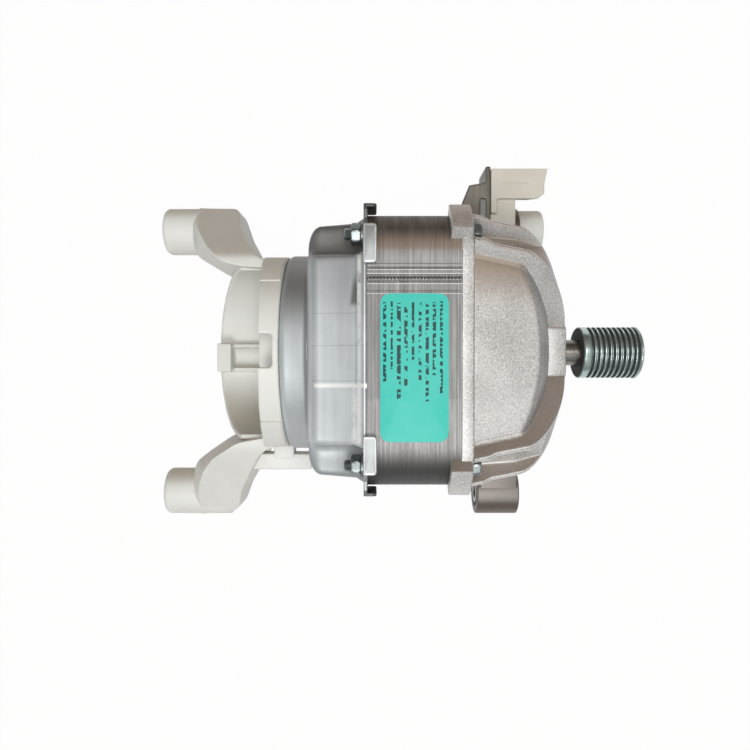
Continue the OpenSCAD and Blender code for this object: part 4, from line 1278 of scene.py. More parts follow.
        w, c, fillet, rim, lip, root = (
            self.arm_half, self.channel_half, self.fillet, self.rim, self.channel_lip, self.channel_root
        )
        foot = np.linspace(0, 1, 6)
        quarter = np.linspace(0, math.pi / 2, 4)
        cos, sin = 1 - np.cos(quarter), 1 - np.sin(quarter)
        low, high = base(w + fillet) - 0.15, base(w) + fillet
        curve = (1 - foot) ** 2 * low + 2 * foot * (1 - foot) * base(w) + foot**2 * high
        side = [np.full(1, w + fillet), w + fillet * (1 - foot) ** 2]
        t = np.concatenate([*side, w - rim * cos, c + lip * sin, c - root * cos, np.zeros(1)])[None, :]
        parts = [low - self.arm_sunk, curve, top - rim * sin, top - lip * cos, floor + root * sin, floor]
        r = np.minimum(np.concatenate(parts, 1), top)
        t = np.concatenate([t, -t[:, -2::-1]], 1) * np.ones_like(x)
        r = np.concatenate([r, r[:, -2::-1]], 1)
        y, z = r * math.cos(alpha) - t * math.sin(alpha), r * math.sin(alpha) + t * math.cos(alpha)
        surface.solid(np.stack([np.broadcast_to(x, r.shape), y, z], axis=-1))

    def flange(self, surface: Surface) -> None:
        """Adds the flange: the stack's outline outside, the shell's mouth inside, with rounded rims.

        Args:
            surface: Where the shape is added.
        """
        theta = angles(self.columns)
        outer = self.stack_radius(theta)
        square = self.mouth_half / np.maximum(np.abs(np.cos(theta)), np.abs(np.sin(theta)))
        inner = np.minimum(square, self.mouth_r)
        back, front, rim = self.stack_front, self.flange_front, 0.7
        skin = [(back, outer - 0.2), (back + 0.2, outer), (front - rim, outer), (front - 0.2, outer - 0.25)]
        levels = [(back, inner), *skin, (front, outer - rim), (front, inner)]
        surface.grid(rings(levels, theta), close_u=True)

    def ears(self, surface: Surface) -> None:
        """Adds the four ears on the stack's corners: arcs about the corner's middle, joined by lines.

        Args:
            surface: Where the shape is added.
        """
        middle = (self.stack_half - self.stack_corner) * DIAGONAL
        half, r_in = self.ear_half, self.stack_corner + 0.05
        out = np.linspace(-1, 1, 18) * math.asin(half / self.ear_r)
        back = np.linspace(1, -1, 16) * math.asin(half / r_in)
        arc_out = np.stack([middle + self.ear_r * np.cos(out), self.ear_r * np.sin(out)], 1)
        arc_in = np.stack([middle + r_in * np.cos(back), r_in * np.sin(back)], 1)
        deep = np.stack([np.full(16, middle + self.ear_root), np.linspace(half, -half, 16)], 1)
        back_x, front_x = self.stack_front, self.flange_front
        for turn in np.radians(45 + 90 * np.arange(4)):
            spin = np.array([[math.cos(turn), math.sin(turn)], [-math.sin(turn), math.cos(turn)]])
            hook = resampled(np.vstack([arc_out, arc_in]), 90) @ spin
            lump = resampled(np.vstack([arc_out, deep]), 90) @ spin
            surface.solid(slab(hook, back_x - self.ear_len, back_x + 1.0, 0.6, Along.X))
            surface.solid(slab(lump, back_x - 0.05, front_x - 0.6, 0.8, Along.X))

    def hub(self, surface: Surface) -> None:
        """Adds the eight-sided hub as one closed skin, with its shaft hole and bearing seat.

        Args:
            surface: Where the shape is added.
        """
        theta = angles(240)
        half_side = math.pi / 8
        at = half_side * (1 + 2 * np.arange(8))
        corners = np.stack([np.cos(at), np.sin(at)], 1) * self.hub_half / math.cos(half_side)
        eight = radius_at(rounded(corners, 1.5), theta)
        x, even = self.hub_front, np.ones_like(theta)
        side = [(19, eight - 1), (8, eight + 0.4), (0.8, eight), (0.25, eight - 0.25), (0, eight - 0.8)]
        rim = ((0, 0.8), (0.3, 0.2), (0.8, 0), (2.5, 0))
        hole = [(depth, even * (self.hole_r + more)) for depth, more in rim]
        seat = [(depth, even * self.bearing_r) for depth in (2.5, 20)]
        levels = [(x - depth, r) for depth, r in ((20, even * 21), *side, *hole, *seat)]
        surface.grid(rings(levels, theta), close_u=True)

    def lug(self, surface: Surface, y: float) -> None:
        """Adds one mounting lug: a tube turned about its own axis, and the web that carries it.

        Args:
            surface: Where the shape is added.
            y: Place of the lug's axis.
        """
        x0, x1 = self.lug_x
        side = math.copysign(1, y)
        z, r, bore = self.mount_z, self.lug_r, self.lug_hole_r
        tube = rounded([(x0, bore), (x0, r), (x1, r), (x1, bore)], 0.8)
        surface.grid(revolve(tube, 72, y, z), close_u=True)
        held = self.web_hold * r
        inner_y = y - side * held * math.sin(math.radians(self.web_lean))
        root = [(side * root_y, root_z) for root_y, root_z in self.web_root]
        web = [(inner_y, z - held), (inner_y, z + held), *root]
        outline = resampled(rounded(web, [0, 0, 3, 3]), 60)
        surface.solid(slab(outline, x0 + 1.2, x1 - 1.2, 0.8, Along.X))

    def make(self, shop: Workshop) -> None:
        """Builds the bell as one casting.

        Args:
            shop: The frame and the finishes.
        """
        surface = Surface()
        self.body(surface)
        for k in range(4):
            self.arm(surface, math.radians(45 + 90 * k))
        self.flange(surface)
        self.ears(surface)
        self.hub(surface)
        for y in self.lug_ys:
            self.lug(surface, y)
        surface.block(*self.plate_pad, 1.0, 1.5)
        shop.seat(surface.piece("front_bell_casting", 34), "cast_aluminium", "front_bell")


# Rear cover


@dataclass
class RearCover(Assembly):
    """The pressed cover: a round end that steps out into four lobes, a flange and folded tabs."""

    lobe_end: float = -136.83
    cover_end: float = -148.33
    ring_r: float = 44.5
    ring_edge: float = 3.0
    cup_r: float = 19.05
    cup_end: float = -160.33
    lobe_half: float = 52.8
    lobe_w: float = 37.6
    lobe_corner: float = 3.4
    valley_r: float = 6.0
    shoulder: float = 9.0
    shoulder_len: float = 5.5
    shoulder_draw: float = 2.2
    step_out: float = 0.9
    widening: float = 1.2
    flare: float = 2.0
    sheet: float = 1.5
    tab_mid: float = 40.5
    tab_w: float = 15.0
    tab_len: float = 5.2
    tab_lift: float = 1.3
    tab_root: float = 19.5

    def outline(self, half: float, width: float) -> Array:
        """The cross-shaped outline of the lobes: their corners rounded outwards, the valleys inwards.

        Args:
            half: Distance of the lobes' ends from the axis.
            width: Half the width of a lobe.

        Returns:
            Closed outline of (Y, Z) points.
        """
        lobe = [(half, -width), (half, width), (width, width)]
        corners = [(u * c - v * s, u * s + v * c) for c, s in QUARTERS for u, v in lobe]
        return rounded(corners, [self.lobe_corner, self.lobe_corner, self.valley_r] * 4, steps=8)

    def skin(self, theta: Array) -> list[tuple[float, Array]]:
        """Rows of the cover from its cup to its flange, each a place along the shaft and its radii.

        The round end turns into the lobes over a small inner corner. The shoulder draws the
        lobes in on a quarter circle, and the flare lets them out on a smaller one.

        Args:
            theta: Angles from +Y about the shaft.

        Returns:
            Places along the shaft, each with its radii.
        """
        even = np.ones_like(theta)
        cup, end, r = self.cup_end, self.cover_end, self.cup_r
        turned = [(cup, 3), (cup, r - 1.5), (cup + 0.4, r - 0.4), (cup + 1.5, r)]
        turned += [(end - 0.8, r), (end, r + 0.8)]
        for a in np.linspace(0, math.pi / 2, 6):
            behind, draw = self.ring_edge * (1 - math.cos(a)), self.ring_edge * (1 - math.sin(a))
            turned.append((end + behind, self.ring_r - draw))
        turned += [(self.lobe_end - 1.2, self.ring_r), (self.lobe_end - 0.35, self.ring_r + 0.35)]
        rows = [(x, even * radius) for x, radius in turned]
        near, least = self.lobe_half - self.widening, self.ring_r + self.step_out
        first = radius_at(self.outline(near - self.shoulder + 0.4, self.lobe_w - 1.8), theta)
        rows.append((self.lobe_end, np.maximum(first - 1.0, least)))
        for a in np.linspace(0.12, math.pi / 2, 9):
            draw = 1 - math.sin(a)
            outline = self.outline(near - self.shoulder * draw, self.lobe_w - self.shoulder_draw * draw)
            edge = radius_at(outline, theta)
            rows.append((self.lobe_end + self.shoulder_len * (1 - math.cos(a)), np.maximum(edge, least)))
        full = radius_at(self.outline(self.lobe_half, self.lobe_w), theta)
        for a in np.linspace(0, math.pi / 2, 6):
            out = full + (self.flare + 0.2) * (1 - math.cos(a))
            rows.append((self.plate_rear - (self.flare + 1.2) * math.cos(a), out))
        return rows

    def shell(self, surface: Surface) -> None:
        """Adds the cover's skin with its thickness: out along the outside, back along the inside.

        Args:
            surface: Where the shape is added.
        """
        theta = angles(self.columns)
        rows = self.skin(theta)
        inside = [(x + self.sheet, np.maximum(r - self.sheet, 2)) for x, r in reversed(rows)]
        surface.grid(rings(rows + inside, theta), close_u=True)

    def plate(self, surface: Surface) -> None:
        """Adds the flange that lies on the stack, cut out over the lobes.

        Args:
            surface: Where the shape is added.
        """
        theta = angles(self.columns)
        outer = self.stack_radius(theta)
        inner = np.minimum(radius_at(self.outline(self.lobe_half, self.lobe_w), theta) - 0.2, outer - 0.4)
        x0, x1 = self.plate_rear, self.stack_rear
        skin = [(x0, outer - 0.3), (x0 + 0.3, outer), (x1 - 0.2, outer), (x1, outer - 0.2)]
        surface.grid(rings([(x0, inner), *skin, (x1, inner)], theta), close_u=True)

    def tabs(self, surface: Surface) -> None:
        """Adds the eight folded tabs, each a small plate bent over the side of the stack.

        Args:
            surface: Where the shape is added.
        """
        z, sheet = self.stack_half + self.tab_lift, self.sheet
        x0, x1 = self.plate_rear, self.plate_rear + self.tab_len
        for c, s in QUARTERS:
            for middle in (-self.tab_mid, self.tab_mid):
                y0, y1 = middle - self.tab_w / 2, middle + self.tab_w / 2
                outline = rounded([(x0, y0), (x1, y0), (x1, y1), (x0, y1)], [0.6, 1.6, 1.6, 0.6])
                flat = slab(resampled(outline, 64), z, z + sheet, 0.45, Along.Z)
                side = rectangle(y0, y1, self.stack_half - self.tab_root, z + sheet - 0.3, 0.5)
                root = slab(side, x0, x0 + sheet, 0.4, Along.X)
                surface.solid(quarter_turned(flat, c, s)).solid(quarter_turned(root, c, s))

    def make(self, shop: Workshop) -> None:
        """Builds the cover as one pressing.

        Args:
            shop: The frame and the finishes.
        """
        surface = Surface()
        self.shell(surface)
        self.plate(surface)
        self.tabs(surface)
        shop.seat(surface.piece("rear_cover_pressing", 40), "cover_steel", "rear_cover")


# Lamination stack


@dataclass
class LaminationStack(Assembly):
    """The visible edges of the stack's sheets, over the CAD core that stays inside."""

    groove: float = 1.0
    grooves: tuple[Pair, ...] = ((21.8, 22.9), (25.6, 29.0), (31.0, 32.5))
    groove_edge: float = 0.15
    pitch: float = 0.5
    bite: float = 0.13
    proud: Pair = (0.02, 0.17)
    seed: int = 7
    weld_y: float = 27.3
    bead: float = 1.45
    bead_height: Pair = (0.62, 0.3)
    bead_shape: Pair = (1.25, 0.9)

    def outline(self) -> Array:
        """The square outline with its weld grooves on each side, in even small steps.

        Returns:
            Closed outline of (Y, Z) points.
        """
        half, deep = self.stack_half, self.stack_half - self.groove
        side = [(half, -half)]
        for low, high in self.grooves:
            side += [(half, low), (deep, low), (deep, high), (half, high)]
        radii = [self.stack_corner] + [self.groove_edge] * (len(side) - 1)
        corners = [(u * c + v * s, u * s - v * c) for c, s in QUARTERS for u, v in side]
        return rounded(corners, radii * 4, steps=6)

    def sheets(self, surface: Surface) -> None:
        """Adds the sheets: each has three rows, a little more or less proud than its neighbours.

        Args:
            surface: Where the shape is added.
        """
        count = int(round((self.stack_front - self.stack_rear) / self.pitch))
        proud = np.random.default_rng(self.seed).uniform(*self.proud, count)
        rows = [(self.stack_rear + 0.01, -0.8)]
        for i in range(count):
            x0 = self.stack_rear + i * self.pitch
            rows += [(x0 + 0.02, -0.06), (x0 + self.bite, proud[i]), (x0 + self.pitch - self.bite, proud[i])]
        rows.append((self.stack_front - 0.01, -0.8))
        outline = self.outline()
        surface.grid(np.stack([placed(inset(outline, -grow), x) for x, grow in rows]), close_u=True)

    def weld(self) -> Array:
        """Rows of a weld seam in the middle groove: a low half round whose height swells at each bead.

        Returns:
            Points as a (rows, columns, 3) array.
        """
        rear, front = self.stack_rear, self.stack_front
        x = np.linspace(rear + 0.2, front - 0.2, 260)[:, None]
        phi = angles(16)[None, :]
        least, more = self.bead_height
        swell = least + more * np.abs(np.sin(x * math.pi / self.bead)) ** 0.7
        swell = np.where((x < rear + 0.3) | (x > front - 0.3), 0.2, swell)
        wide, tall = self.bead_shape
        y = self.weld_y + wide * np.cos(phi) * swell
        z = self.stack_half - self.groove + np.sin(phi) * swell * tall
        return np.stack(np.broadcast_arrays(x, y, z), axis=-1)

    def make(self, shop: Workshop) -> None:
        """Builds the sheets' edges and the four weld seams.

        Args:
            shop: The frame and the finishes.
        """
        surface, seams = Surface(), Surface()
        self.sheets(surface)
        shop.seat(surface.piece("stack_sheet_edges", 50), "lamination_steel")
        for c, s in QUARTERS:
            seams.solid(quarter_turned(self.weld(), c, s))
        shop.seat(seams.piece("stack_weld_seams", 60), "lamination_steel")


# Pulley, fasteners and spacer


@dataclass
class DrivePulley(Assembly):
    """The ribbed pulley, its ribs rounded at crest and root."""

    ribs: int = 9
    pitch: float = 2.34
    depth: float = 1.75
    r: float = 11.9
    front: float = 12.63
    rear: float = -14.63
    bore: float = 6.05

    def profile(self) -> Array:
        """Half section of the pulley, as (x, r), with rounded crests and roots.

        Returns:
            Points as (x, r).
        """
        start, r, low, front = -self.ribs * self.pitch / 2, self.r, self.r - self.depth, self.front
        points = [(self.rear, self.bore), (self.rear, r - 0.6), (self.rear + 0.6, r), (start - 0.8, r)]
        for x0 in start + self.pitch * np.arange(self.ribs):
            x, x1 = x0 + self.pitch / 2, x0 + self.pitch
            points += [(x0 + 0.2, low), (x - 0.35, r), (x + 0.35, r), (x1 - 0.2, low)]
        points += [(front - 1.6, r - 0.2), (front - 1.1, r + 0.2), (front - 0.6, r + 0.2), (front, r - 0.4)]
        points += [(front, 9.0), (front - 2, 8.6), (front - 2, self.bore)]
        start_r, rib_r = (0.2, 0.4, 0.4, 0.3), (0.15, 0.25, 0.25, 0.15)
        end_r = (0.2, 0.3, 0.3, 0.3, 0.4, 0.3, 0.2)
        return rounded(points, start_r + rib_r * self.ribs + end_r, steps=3)

    def make(self, shop: Workshop) -> None:
        """Turns the pulley's profile about the shaft."""
        surface = Surface().grid(revolve(self.profile(), 128), close_u=True)
        shop.seat(surface.piece("ribbed_pulley", 32), "pulley_steel", "drive_pulley", body="rotor")


@dataclass
class Fasteners(Assembly):
    """Tie bolts with their nuts and washers, at the four corners of the stack."""

    bolt_pos: float = 46.0
    bolt_r: float = 2.5
    shank_r: float = 2.2
    af: float = 8.0
    head: float = 3.6
    nut: float = 4.0
    washer: float = 1.0
    washer_r: Pair = (2.7, 5.0)
    stud: float = 2.8
    pitch: float = 0.8

    def hexagon(self, x0: float, x1: float, bore: float, turn: float) -> Array:
        """Rows of a hexagon with its ends cut to a cone: at each angle the smaller radius counts.

        Args:
            x0: Place of its first end.
            x1: Place of its second end.
            bore: Radius of the hole.
            turn: Angle that it is turned by.

        Returns:
            Points as a (rows, columns, 3) array.
        """
        theta = angles(72)
        sixth = math.pi / 6
        half = self.af / 2
        flat = half / np.cos((theta + turn + sixth) % (2 * sixth) - sixth)
        ends = ((0.0, half - 0.1), (0.3, half + 0.25), (0.7, half / math.cos(sixth)))
        rise = [(0.0, np.full_like(flat, bore))] + [(d, np.minimum(flat, cone)) for d, cone in ends]
        return rings([(x0 + d, r) for d, r in rise] + [(x1 - d, r) for d, r in reversed(rise)], theta)

    def thread(self, x0: float, x1: float, r: float) -> Array:
        """Rows of a threaded end: the radius is a triangle wave of place along the thread and angle.

        Args:
            x0: Place of the free end.
            x1: Place of the other end.
            r: Radius over the crests.

        Returns:
            Points as a (rows, columns, 3) array.
        """
        x = np.arange(x0, x1, self.pitch / 6)[:, None]
        theta = angles(32)[None, :]
        wave = np.abs(((x / self.pitch - theta / TURN) % 1) * 2 - 1)
        taper = ramp(x, x0, 0.7)
        return around(x, (r - 0.3 * wave) * (0.75 + 0.25 * taper), theta)

    def make(self, shop: Workshop) -> None:
        """Builds bolts, nuts and washers as three pieces.

        Args:
            shop: The frame and the finishes.
        """
        bolts, nuts, washers = Surface(), Surface(), Surface()
        washer_x = self.plate_rear - self.washer
        nut_x, head_x, r = washer_x - self.nut, self.flange_front, self.bolt_r
        ring = rectangle(washer_x, self.plate_rear, *self.washer_r, 0.25)
        places = [(y, z) for y in (-self.bolt_pos, self.bolt_pos) for z in (-self.bolt_pos, self.bolt_pos)]
        for k, place in enumerate(places):
            shift = np.array([0.0, *place])
            bolts.grid(self.hexagon(head_x, head_x + self.head, 0.4, 0.3 * k) + shift, close_u=True)
            bolts.solid(self.thread(nut_x - self.stud, washer_x + 1, r) + shift)
            shank = [(washer_x, self.shank_r), (head_x + 0.1, self.shank_r)]
            bolts.solid(revolve(shank, 24) + shift)
            nuts.grid(self.hexagon(nut_x, washer_x, r - 0.1, 0.2 + 0.35 * k) + shift, close_u=True)
            washers.grid(revolve(ring, 48) + shift, close_u=True)
        sets = ((bolts, "tie_bolt_set", "tie_bolts"), (nuts, "tie_nut_set", "tie_nuts"))
        for surface, name, node in (*sets, (washers, "washer_set", "nut_washers")):
            shop.seat(surface.piece(name, 30), "fastener_zinc", node)


@dataclass
class LugSpacer(Assembly):
    """The plastic spacer on the upper lug, turned about the lug's axis."""

    y: float = 66.0
    x: Pair = (-33.33, -20.33)
    r: float = 11.2
    bore: float = 6.25

    def make(self, shop: Workshop) -> None:
        """Turns the spacer: a straight side that rounds over at its free end.

        Args:
            shop: The frame and the finishes.
        """
        x0, x1 = self.x
        corners = [(x0, self.bore), (x0, self.r), (x1, self.r), (x1, self.bore)]
        profile = rounded(corners, [0.2, 0.4, self.r - self.bore - 0.8, 0.3], steps=8)
        surface = Surface().grid(revolve(profile, 72, self.y, self.mount_z), close_u=True)
        shop.seat(surface.piece("lug_spacer", 40), "bracket_plastic", "upper_lug_spacer")


# Rear bracket


@dataclass(frozen=True)
class ArmShape:
    """One arm seen from above, as X and distance from the shaft, with the plane that tops it.

    The edge is where the top meets the rear face, the foot is where that face ends lower
    down, and the front is the side towards the cover. The boss is at a distance of its own,
    and the plane reaches its low end at the distance far. An arm's side is 1 towards +Y and
    -1 towards -Y.
    """

    name: str
    node: str
    side: int
    edge: tuple[Pair, ...]
    foot: tuple[Pair, ...]
    front: tuple[Pair, ...]
    boss: float
    far: float
    blocks: tuple[Box, ...] = ()


UPPER_ARM = ArmShape(
    name="bracket_upper_arm",
    node="bracket_arm_upper",
    side=1,
    edge=(
        (-156.0, 38.6), (-171.5, 39.7), (-180.7, 42.0), (-188.4, 49.7), (-196.1, 59.6), (-200.2, 66.4),
        (-202.9, 78.0),
    ),
    foot=(
        (-156.0, 37.0), (-168.0, 36.4), (-180.6, 38.8), (-193.7, 45.7), (-201.3, 50.4), (-203.0, 58.0),
        (-203.2, 78.0),
    ),
    front=(
        (-149.6, 42.2), (-160.9, 42.4), (-165.9, 46.5), (-172.0, 54.3), (-176.5, 62.6), (-180.6, 74.5),
        (-182.8, 77.4), (-200.5, 77.8),
    ),
    boss=66.0,
    far=79.5,
)
LOWER_ARM = ArmShape(
    name="bracket_lower_arm",
    node="bracket_arm_lower",
    side=-1,
    edge=(
        (-156.0, 38.6), (-173.0, 41.8), (-186.0, 50.0), (-193.0, 58.0), (-197.5, 66.0), (-200.5, 75.0),
        (-202.7, 86.0),
    ),
    foot=(
        (-156.0, 37.0), (-168.0, 37.4), (-182.7, 42.1), (-193.5, 49.5), (-201.9, 55.9), (-203.0, 63.0),
        (-203.2, 86.0),
    ),
    front=(
        (-149.6, 42.6), (-162.3, 45.6), (-177.3, 70.0), (-181.3, 81.0), (-185.3, 84.6), (-200.5, 85.8),
    ),
    boss=74.0,
    far=87.5,
    blocks=(
        ((-170.3, -57.4, -24.0), (-140.4, -49.4, -14.0)),
        ((-159.0, -52.0, -22.0), (-149.0, -42.0, -13.0)),
    ),
)


@dataclass
class RearBracket(Assembly):
    """The moulded bracket: ring, scoop and two arms, with soft edges and the small raised details."""

    face: float = -148.33
    pad_r: Pair = (43.2, 44.5)
    pad_x: Pair = (9.0, 0.6)
    pad_angles: tuple[Pair, ...] = ((20.0, 48.0), (132.0, 162.0))
    pipe_x: Pair = (-187.5, -160.0)
    pipe_r: Pair = (5.4, 6.4)
    pipe_at: Pair = (-2.0, -32.6)
    boss_r: float = 12.2
    boss_bore: float = 6.25
    boss_x: Pair = (-220.93, -186.53)
    top_y: float = 45.0
    top_z: float = 6.0
    far_z: float = -45.0
    bottom_z: float = -58.0
    foot_z: float = -30.0
    bend: float = 14.0

    def height(self, y: Array, far: float) -> Array:
        """Height of an arm's top at a distance from the shaft: level, then falling evenly, eased in.

        Args:
            y: Distances from the shaft.
            far: Where the plane reaches its low end.

        Returns:
            The heights.
        """
        slope = (self.top_z - self.far_z) / (far - self.top_y)
        beyond = np.asarray(y) - self.top_y
        return self.top_z - slope * 0.5 * (beyond + np.sqrt(beyond**2 + 6.0) - 0.5)

    def section(self, edge: Array, foot: Array, front: Array, far: float) -> Array:
        """One section of an arm: five corners from its rear edge round to its front, the top on the plane.

        Args:
            edge: Where the top meets the rear face, as X and distance from the shaft.
            foot: Where the rear face ends lower down.
            front: The side towards the cover.
            far: Where the plane reaches its low end.

        Returns:
            Points as X, distance from the shaft and height.
        """
        width = float(np.linalg.norm(front - edge))
        way = (front - edge) / width
        square = np.array([way[1], -way[0]])
        steps = np.linspace(0, width, 9)
        tops = self.height(edge[1] + steps * way[1], far)
        low = float(np.interp(front[1], [40, 56], [-36, self.bottom_z]))
        mid = min(self.foot_z, tops[0] - 2.0)
        inward, back = float((foot - edge) @ way), float((foot - edge) @ square)
        corners = [*zip(steps, tops), (width, low), (inward, low), (inward, mid)]
        across, up = rounded(corners, [0.5] + [0.0] * 7 + [0.9, 1.0, 1.0, 0.8], steps=3).T
        lean = ramp(up, tops[0], -max(tops[0] - mid, 1))
        near = np.clip(1 - across / 6.0, 0, 1)
        plan = edge + across[:, None] * way + (lean * near * back)[:, None] * square
        return np.column_stack([plan, up])

    def arm(self, shape: ArmShape) -> Surface:
        """One arm: its section carried from the ring out to its boss, the boss, and the arm's blocks.

        Args:
            shape: Outlines and places of the arm.

        Returns:
            The arm.
        """
        lines = [rounded(line, self.bend, closed=False) for line in (shape.edge, shape.foot, shape.front)]
        lines = [resampled(line, 44, closed=False) for line in lines]
        rows = np.stack([self.section(*points, shape.far) for points in zip(*lines)])
        surface = Surface().solid(rows * np.array([1, shape.side, 1]))
        rear, front = self.boss_x
        r, bore = self.boss_r, self.boss_bore
        tube = [(rear, bore), (rear, r - 1.2), (rear + 1.6, r), (front, r), (front, bore)]
        profile = rounded(tube, [0.4, 1.0, 2.0, 0.8, 0.3])
        surface.grid(revolve(profile, 80, shape.side * shape.boss, self.mount_z), close_u=True)
        for low, high in shape.blocks:
            surface.block(low, high, 1.0, 1.5)
        return surface

    def make(self, shop: Workshop) -> None:
        """Builds the ring and the two arms, and the pads and the channel between the ribs.

        Args:
            shop: The frame and the finishes.
        """
        piece = moulded(shop.frame["nodes"]["rear_bracket"], "bracket_ring", 0.6, 3)
        shop.seat(piece, "bracket_plastic", "rear_bracket")
        for shape in (UPPER_ARM, LOWER_ARM):
            shop.seat(self.arm(shape).piece(shape.name, 34), "bracket_plastic", shape.node)
        shop.seat(self.pads().piece("bracket_ring_pads", 40), "bracket_plastic")

    def pads(self) -> Surface:
        """The low pads on the ring as patches of cylinder, and the half pipe that lines the channel.

        Returns:
            Pads and half pipe.
        """
        surface = Surface()
        low, high = self.pad_r
        x0, x1 = (self.face - behind for behind in self.pad_x)
        x, r = rounded([(x0, low), (x0, high), (x1, high), (x1, low)], 0.3).T
        for start, end in self.pad_angles:
            theta = np.radians(np.linspace(start, end, 30))
            surface.solid(around(x[None, :], r[None, :], theta[:, None]))
        turn = np.linspace(math.pi, TURN, 24)
        inner, outer = (np.stack([np.cos(turn), np.sin(turn)], 1) * r for r in self.pipe_r)
        arc = np.concatenate([outer, inner[::-1]]) + np.array(self.pipe_at)
        return surface.grid(np.stack([placed(arc, x) for x in self.pipe_x]))


# Connector and label


@dataclass
class Connector(Assembly):
    """The connector's moulding and its plate, with the floor of the screw's slot.

    Each place where the moulding is drawn in, shortened or raised is a start and a run.
    """

    top_z: float = -2.0
    draw: float = 1.3
    draw_y: Pair = (80.0, 8.0)
    shorter: float = 2.0
    shorter_x: Pair = (-45.0, 15.0)
    rise: float = 5.0
    rise_x: Pair = (-51.0, 2.0)
    rise_y: tuple[Pair, Pair] = ((80.0, -7.5), (68.0, 4.5))
    rise_depth: float = 22.0
    floor: Box = ((-49.2, 77.9, -3.4), (-34.4, 81.1, -2.3))

    def slant(self, mesh: bpy.types.Mesh) -> None:
        """Draws the side at +Y in, shortens the mouth's end, and lets the side at -Y rise with depth.

        Args:
            mesh: The softened housing, changed in place.
        """
        points = np.empty(len(mesh.vertices) * 3)
        mesh.vertices.foreach_get("co", points)
        x, y, z = (points.reshape(-1, 3) / MM).T
        outer, inner = self.rise_y
        under = ramp(y, *outer) * ramp(y, *inner) * ramp(x, *self.rise_x)
        new_x = x - self.shorter * ramp(x, *self.shorter_x)
        new_y = y - self.draw * ramp(y, *self.draw_y)
        new_y += self.rise * under * ramp(z, self.top_z, -self.rise_depth)
        mesh.vertices.foreach_set("co", (np.stack([new_x, new_y, z], axis=1) * MM).ravel())
        mesh.update()

    def make(self, shop: Workshop) -> None:
        """Builds the softened housing and plate and the slot's floor.

        Args:
            shop: The frame and the finishes.
        """
        housing = moulded(shop.frame["nodes"]["connector_housing"], "connector_moulding", 0.4, 3)
        self.slant(housing.data)
        shop.seat(housing, "connector_plastic", "connector_housing")
        floor = Surface().block(*self.floor, 0.1, 0.1)
        shop.seat(floor.piece("connector_slot_floor"), "connector_plastic")
        plate = moulded(shop.frame["nodes"]["connector_bracket"], "connector_plate", 0.4, 2)
        shop.seat(plate, "plate_steel", "connector_bracket")


@dataclass
class RatingLabel(Assembly):
    """The label: a thin film with rounded corners and plain bars."""

    x: Pair = (-107.33, -80.93)
    y: Pair = (-35.5, 21.6)
    z: float = 55.34
    thick: float = 0.12
    corner: float = 4.2

    def make(self, shop: Workshop) -> None:
        """Builds the film just clear of the sheets' edges.

        Args:
            shop: The frame and the finishes.
        """
        outline = resampled(rectangle(*self.x, *self.y, self.corner), 160)
        surface = Surface().solid(slab(outline, self.z, self.z + self.thick, 0.05, Along.Z))
        shop.seat(surface.piece("label_film_sheet", 40), "label_film", "rating_label")


# Every sub-assembly, in the order of building


ASSEMBLIES = (
    FrontBell,
    RearCover,
    LaminationStack,
    DrivePulley,
    Fasteners,
    LugSpacer,
    RearBracket,
    Connector,
    RatingLabel,
)


# Studio


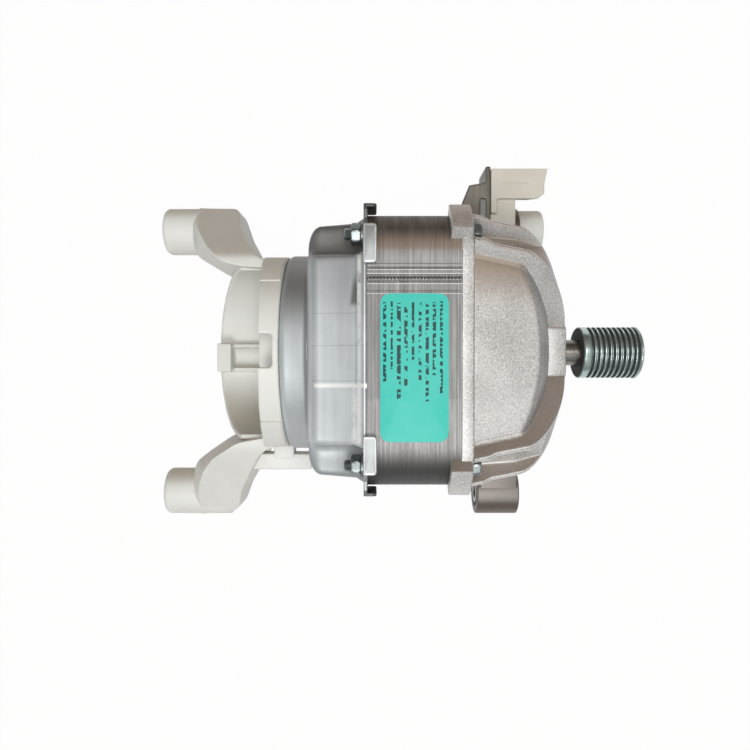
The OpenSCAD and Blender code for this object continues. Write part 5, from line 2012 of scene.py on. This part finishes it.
@dataclass
class Studio:
    """White floor, soft lamps and the photograph's camera.

    The lamps and the middle that they look at are in metres, all else in millimetres.
    """

    floor_z: float = -59.0
    eye: tuple[float, float, float] = (-109.3, -5.8, 300.9)
    tilt: float = -0.9
    lens: float = 30.72
    middle: tuple[float, float, float] = (-0.109, 0.0, 0.0)
    sky: tuple[tuple[float, Colour], ...] = (
        (0.0, WHITE),
        (0.45, (0.8, 0.8, 0.8)),
        (1.0, (0.38, 0.28, 0.18)),
    )
    sky_strength: float = 0.62
    floor_half: float = 3000.0
    floor_thick: float = 20.0
    floor_colour: Colour = (0.55, 0.50, 0.45)
    lamps: tuple[tuple[str, Place, float, float, Colour], ...] = (
        ("key_lamp", (-0.11, -0.40, 0.92), 0.34, 3.5, (1.0, 0.99, 0.98)),
        ("top_lamp", (0.0, 0.12, 1.1), 0.45, 3.4, (1.0, 0.99, 0.97)),
    )

    def camera(self) -> None:
        """Places the camera over the motor, looking down on it with the pulley to the right."""
        data = bpy.data.cameras.new("photo_camera")
        data.lens, data.sensor_width, data.clip_start, data.clip_end = self.lens, 36.0, 0.01, 20.0
        camera = bpy.data.objects.new("photo_camera", data)
        camera.location = tuple(v * MM for v in self.eye)
        camera.rotation_euler = (math.radians(self.tilt), 0, 0)
        bpy.context.scene.collection.objects.link(camera)
        bpy.context.scene.camera = camera

    def floor(self) -> None:
        """Lays the white floor, which camera and mirror rays see as white but for the shadow on it."""
        far, top = self.floor_half, self.floor_z
        floor = Surface().block((-far, -far, top - self.floor_thick), (far, far, top), 1, 1).piece("floor")
        material, p = new_paint("white_floor")
        plain = p.add("ShaderNodeBsdfDiffuse", None, {"Color": self.floor_colour})
        white = p.add("ShaderNodeEmission", None, {"Color": WHITE, "Strength": 1.0})
        seen = p.seen("Camera", "Glossy", "Transmission") * 0.98
        mixed = p.add("ShaderNodeMixShader", None, {0: seen, 1: plain, 2: white})
        p.add("ShaderNodeOutputMaterial", None, {"Surface": mixed})
        floor.data.materials.append(material)

    def world(self) -> None:
        """Lights the scene with a sky, dimmer low down and warmer towards +Y; the camera sees white."""
        world = bpy.data.worlds.new("studio")
        bpy.context.scene.world = world
        world.use_nodes = True
        p = Paint(world.node_tree)
        _, side, up = p.split(p.add("ShaderNodeTexCoord", output="Generated"))
        sky = p.add("ShaderNodeValToRGB", {"stops": self.sky}, {0: side * 0.5 + 0.5})
        sky = p.mix(up.eased(0.0, 0.85), p.mix(0.62, sky, (0.0, 0.0, 0.0)), sky)
        back = p.add("ShaderNodeBackground", None, {"Color": sky, "Strength": self.sky_strength})
        white = p.add("ShaderNodeBackground", None, {"Color": WHITE, "Strength": 1.0})
        mixed = p.add("ShaderNodeMixShader", None, {0: p.seen("Camera"), 1: back, 2: white})
        p.add("ShaderNodeOutputWorld", None, {"Surface": mixed})

    def lamp(self, name: str, place: Place, size: float, power: float, colour: Colour) -> None:
        """Adds a square soft lamp at a place in metres, aimed at the motor's middle.

        Args:
            name: Name of the lamp.
            place: Place in metres.
            size: Length of a side in metres.
            power: Power in watts.
            colour: Colour of the light.
        """
        data = bpy.data.lights.new(name, "AREA")
        data.shape, data.size, data.energy, data.color = "SQUARE", size, power, colour
        lamp = bpy.data.objects.new(name, data)
        bpy.context.scene.collection.objects.link(lamp)
        lamp.location = place
        x, y, z = np.array(self.middle) - np.array(place)
        lamp.rotation_euler = (math.atan2(math.hypot(x, y), -z), 0, math.atan2(-x, y))

    def make(self) -> None:
        """Sets up camera, floor, world and lamps."""
        self.camera()
        self.floor()
        self.world()
        for lamp in self.lamps:
            self.lamp(*lamp)
        bpy.context.scene.view_settings.view_transform = "Standard"


def corners(box: Points) -> list[list[float]]:
    """A box as plain lists of numbers."""
    return [[float(v) for v in corner] for corner in box]


def main() -> None:
    """Loads the frame, dresses every CAD node, builds each sub-assembly and sets up the studio."""
    logging.basicConfig(level=logging.INFO, format="%(name)s: %(message)s")
    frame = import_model()
    finishes = Finishes()
    for part in frame["record"]["subparts"]:
        finishes.dress(frame["nodes"][part["node"]], part["material_slot"])
    shop = Workshop(frame, finishes)
    Studio().make()
    for kind in ASSEMBLIES:
        kind().make(shop)


if __name__ == "__main__":
    main()
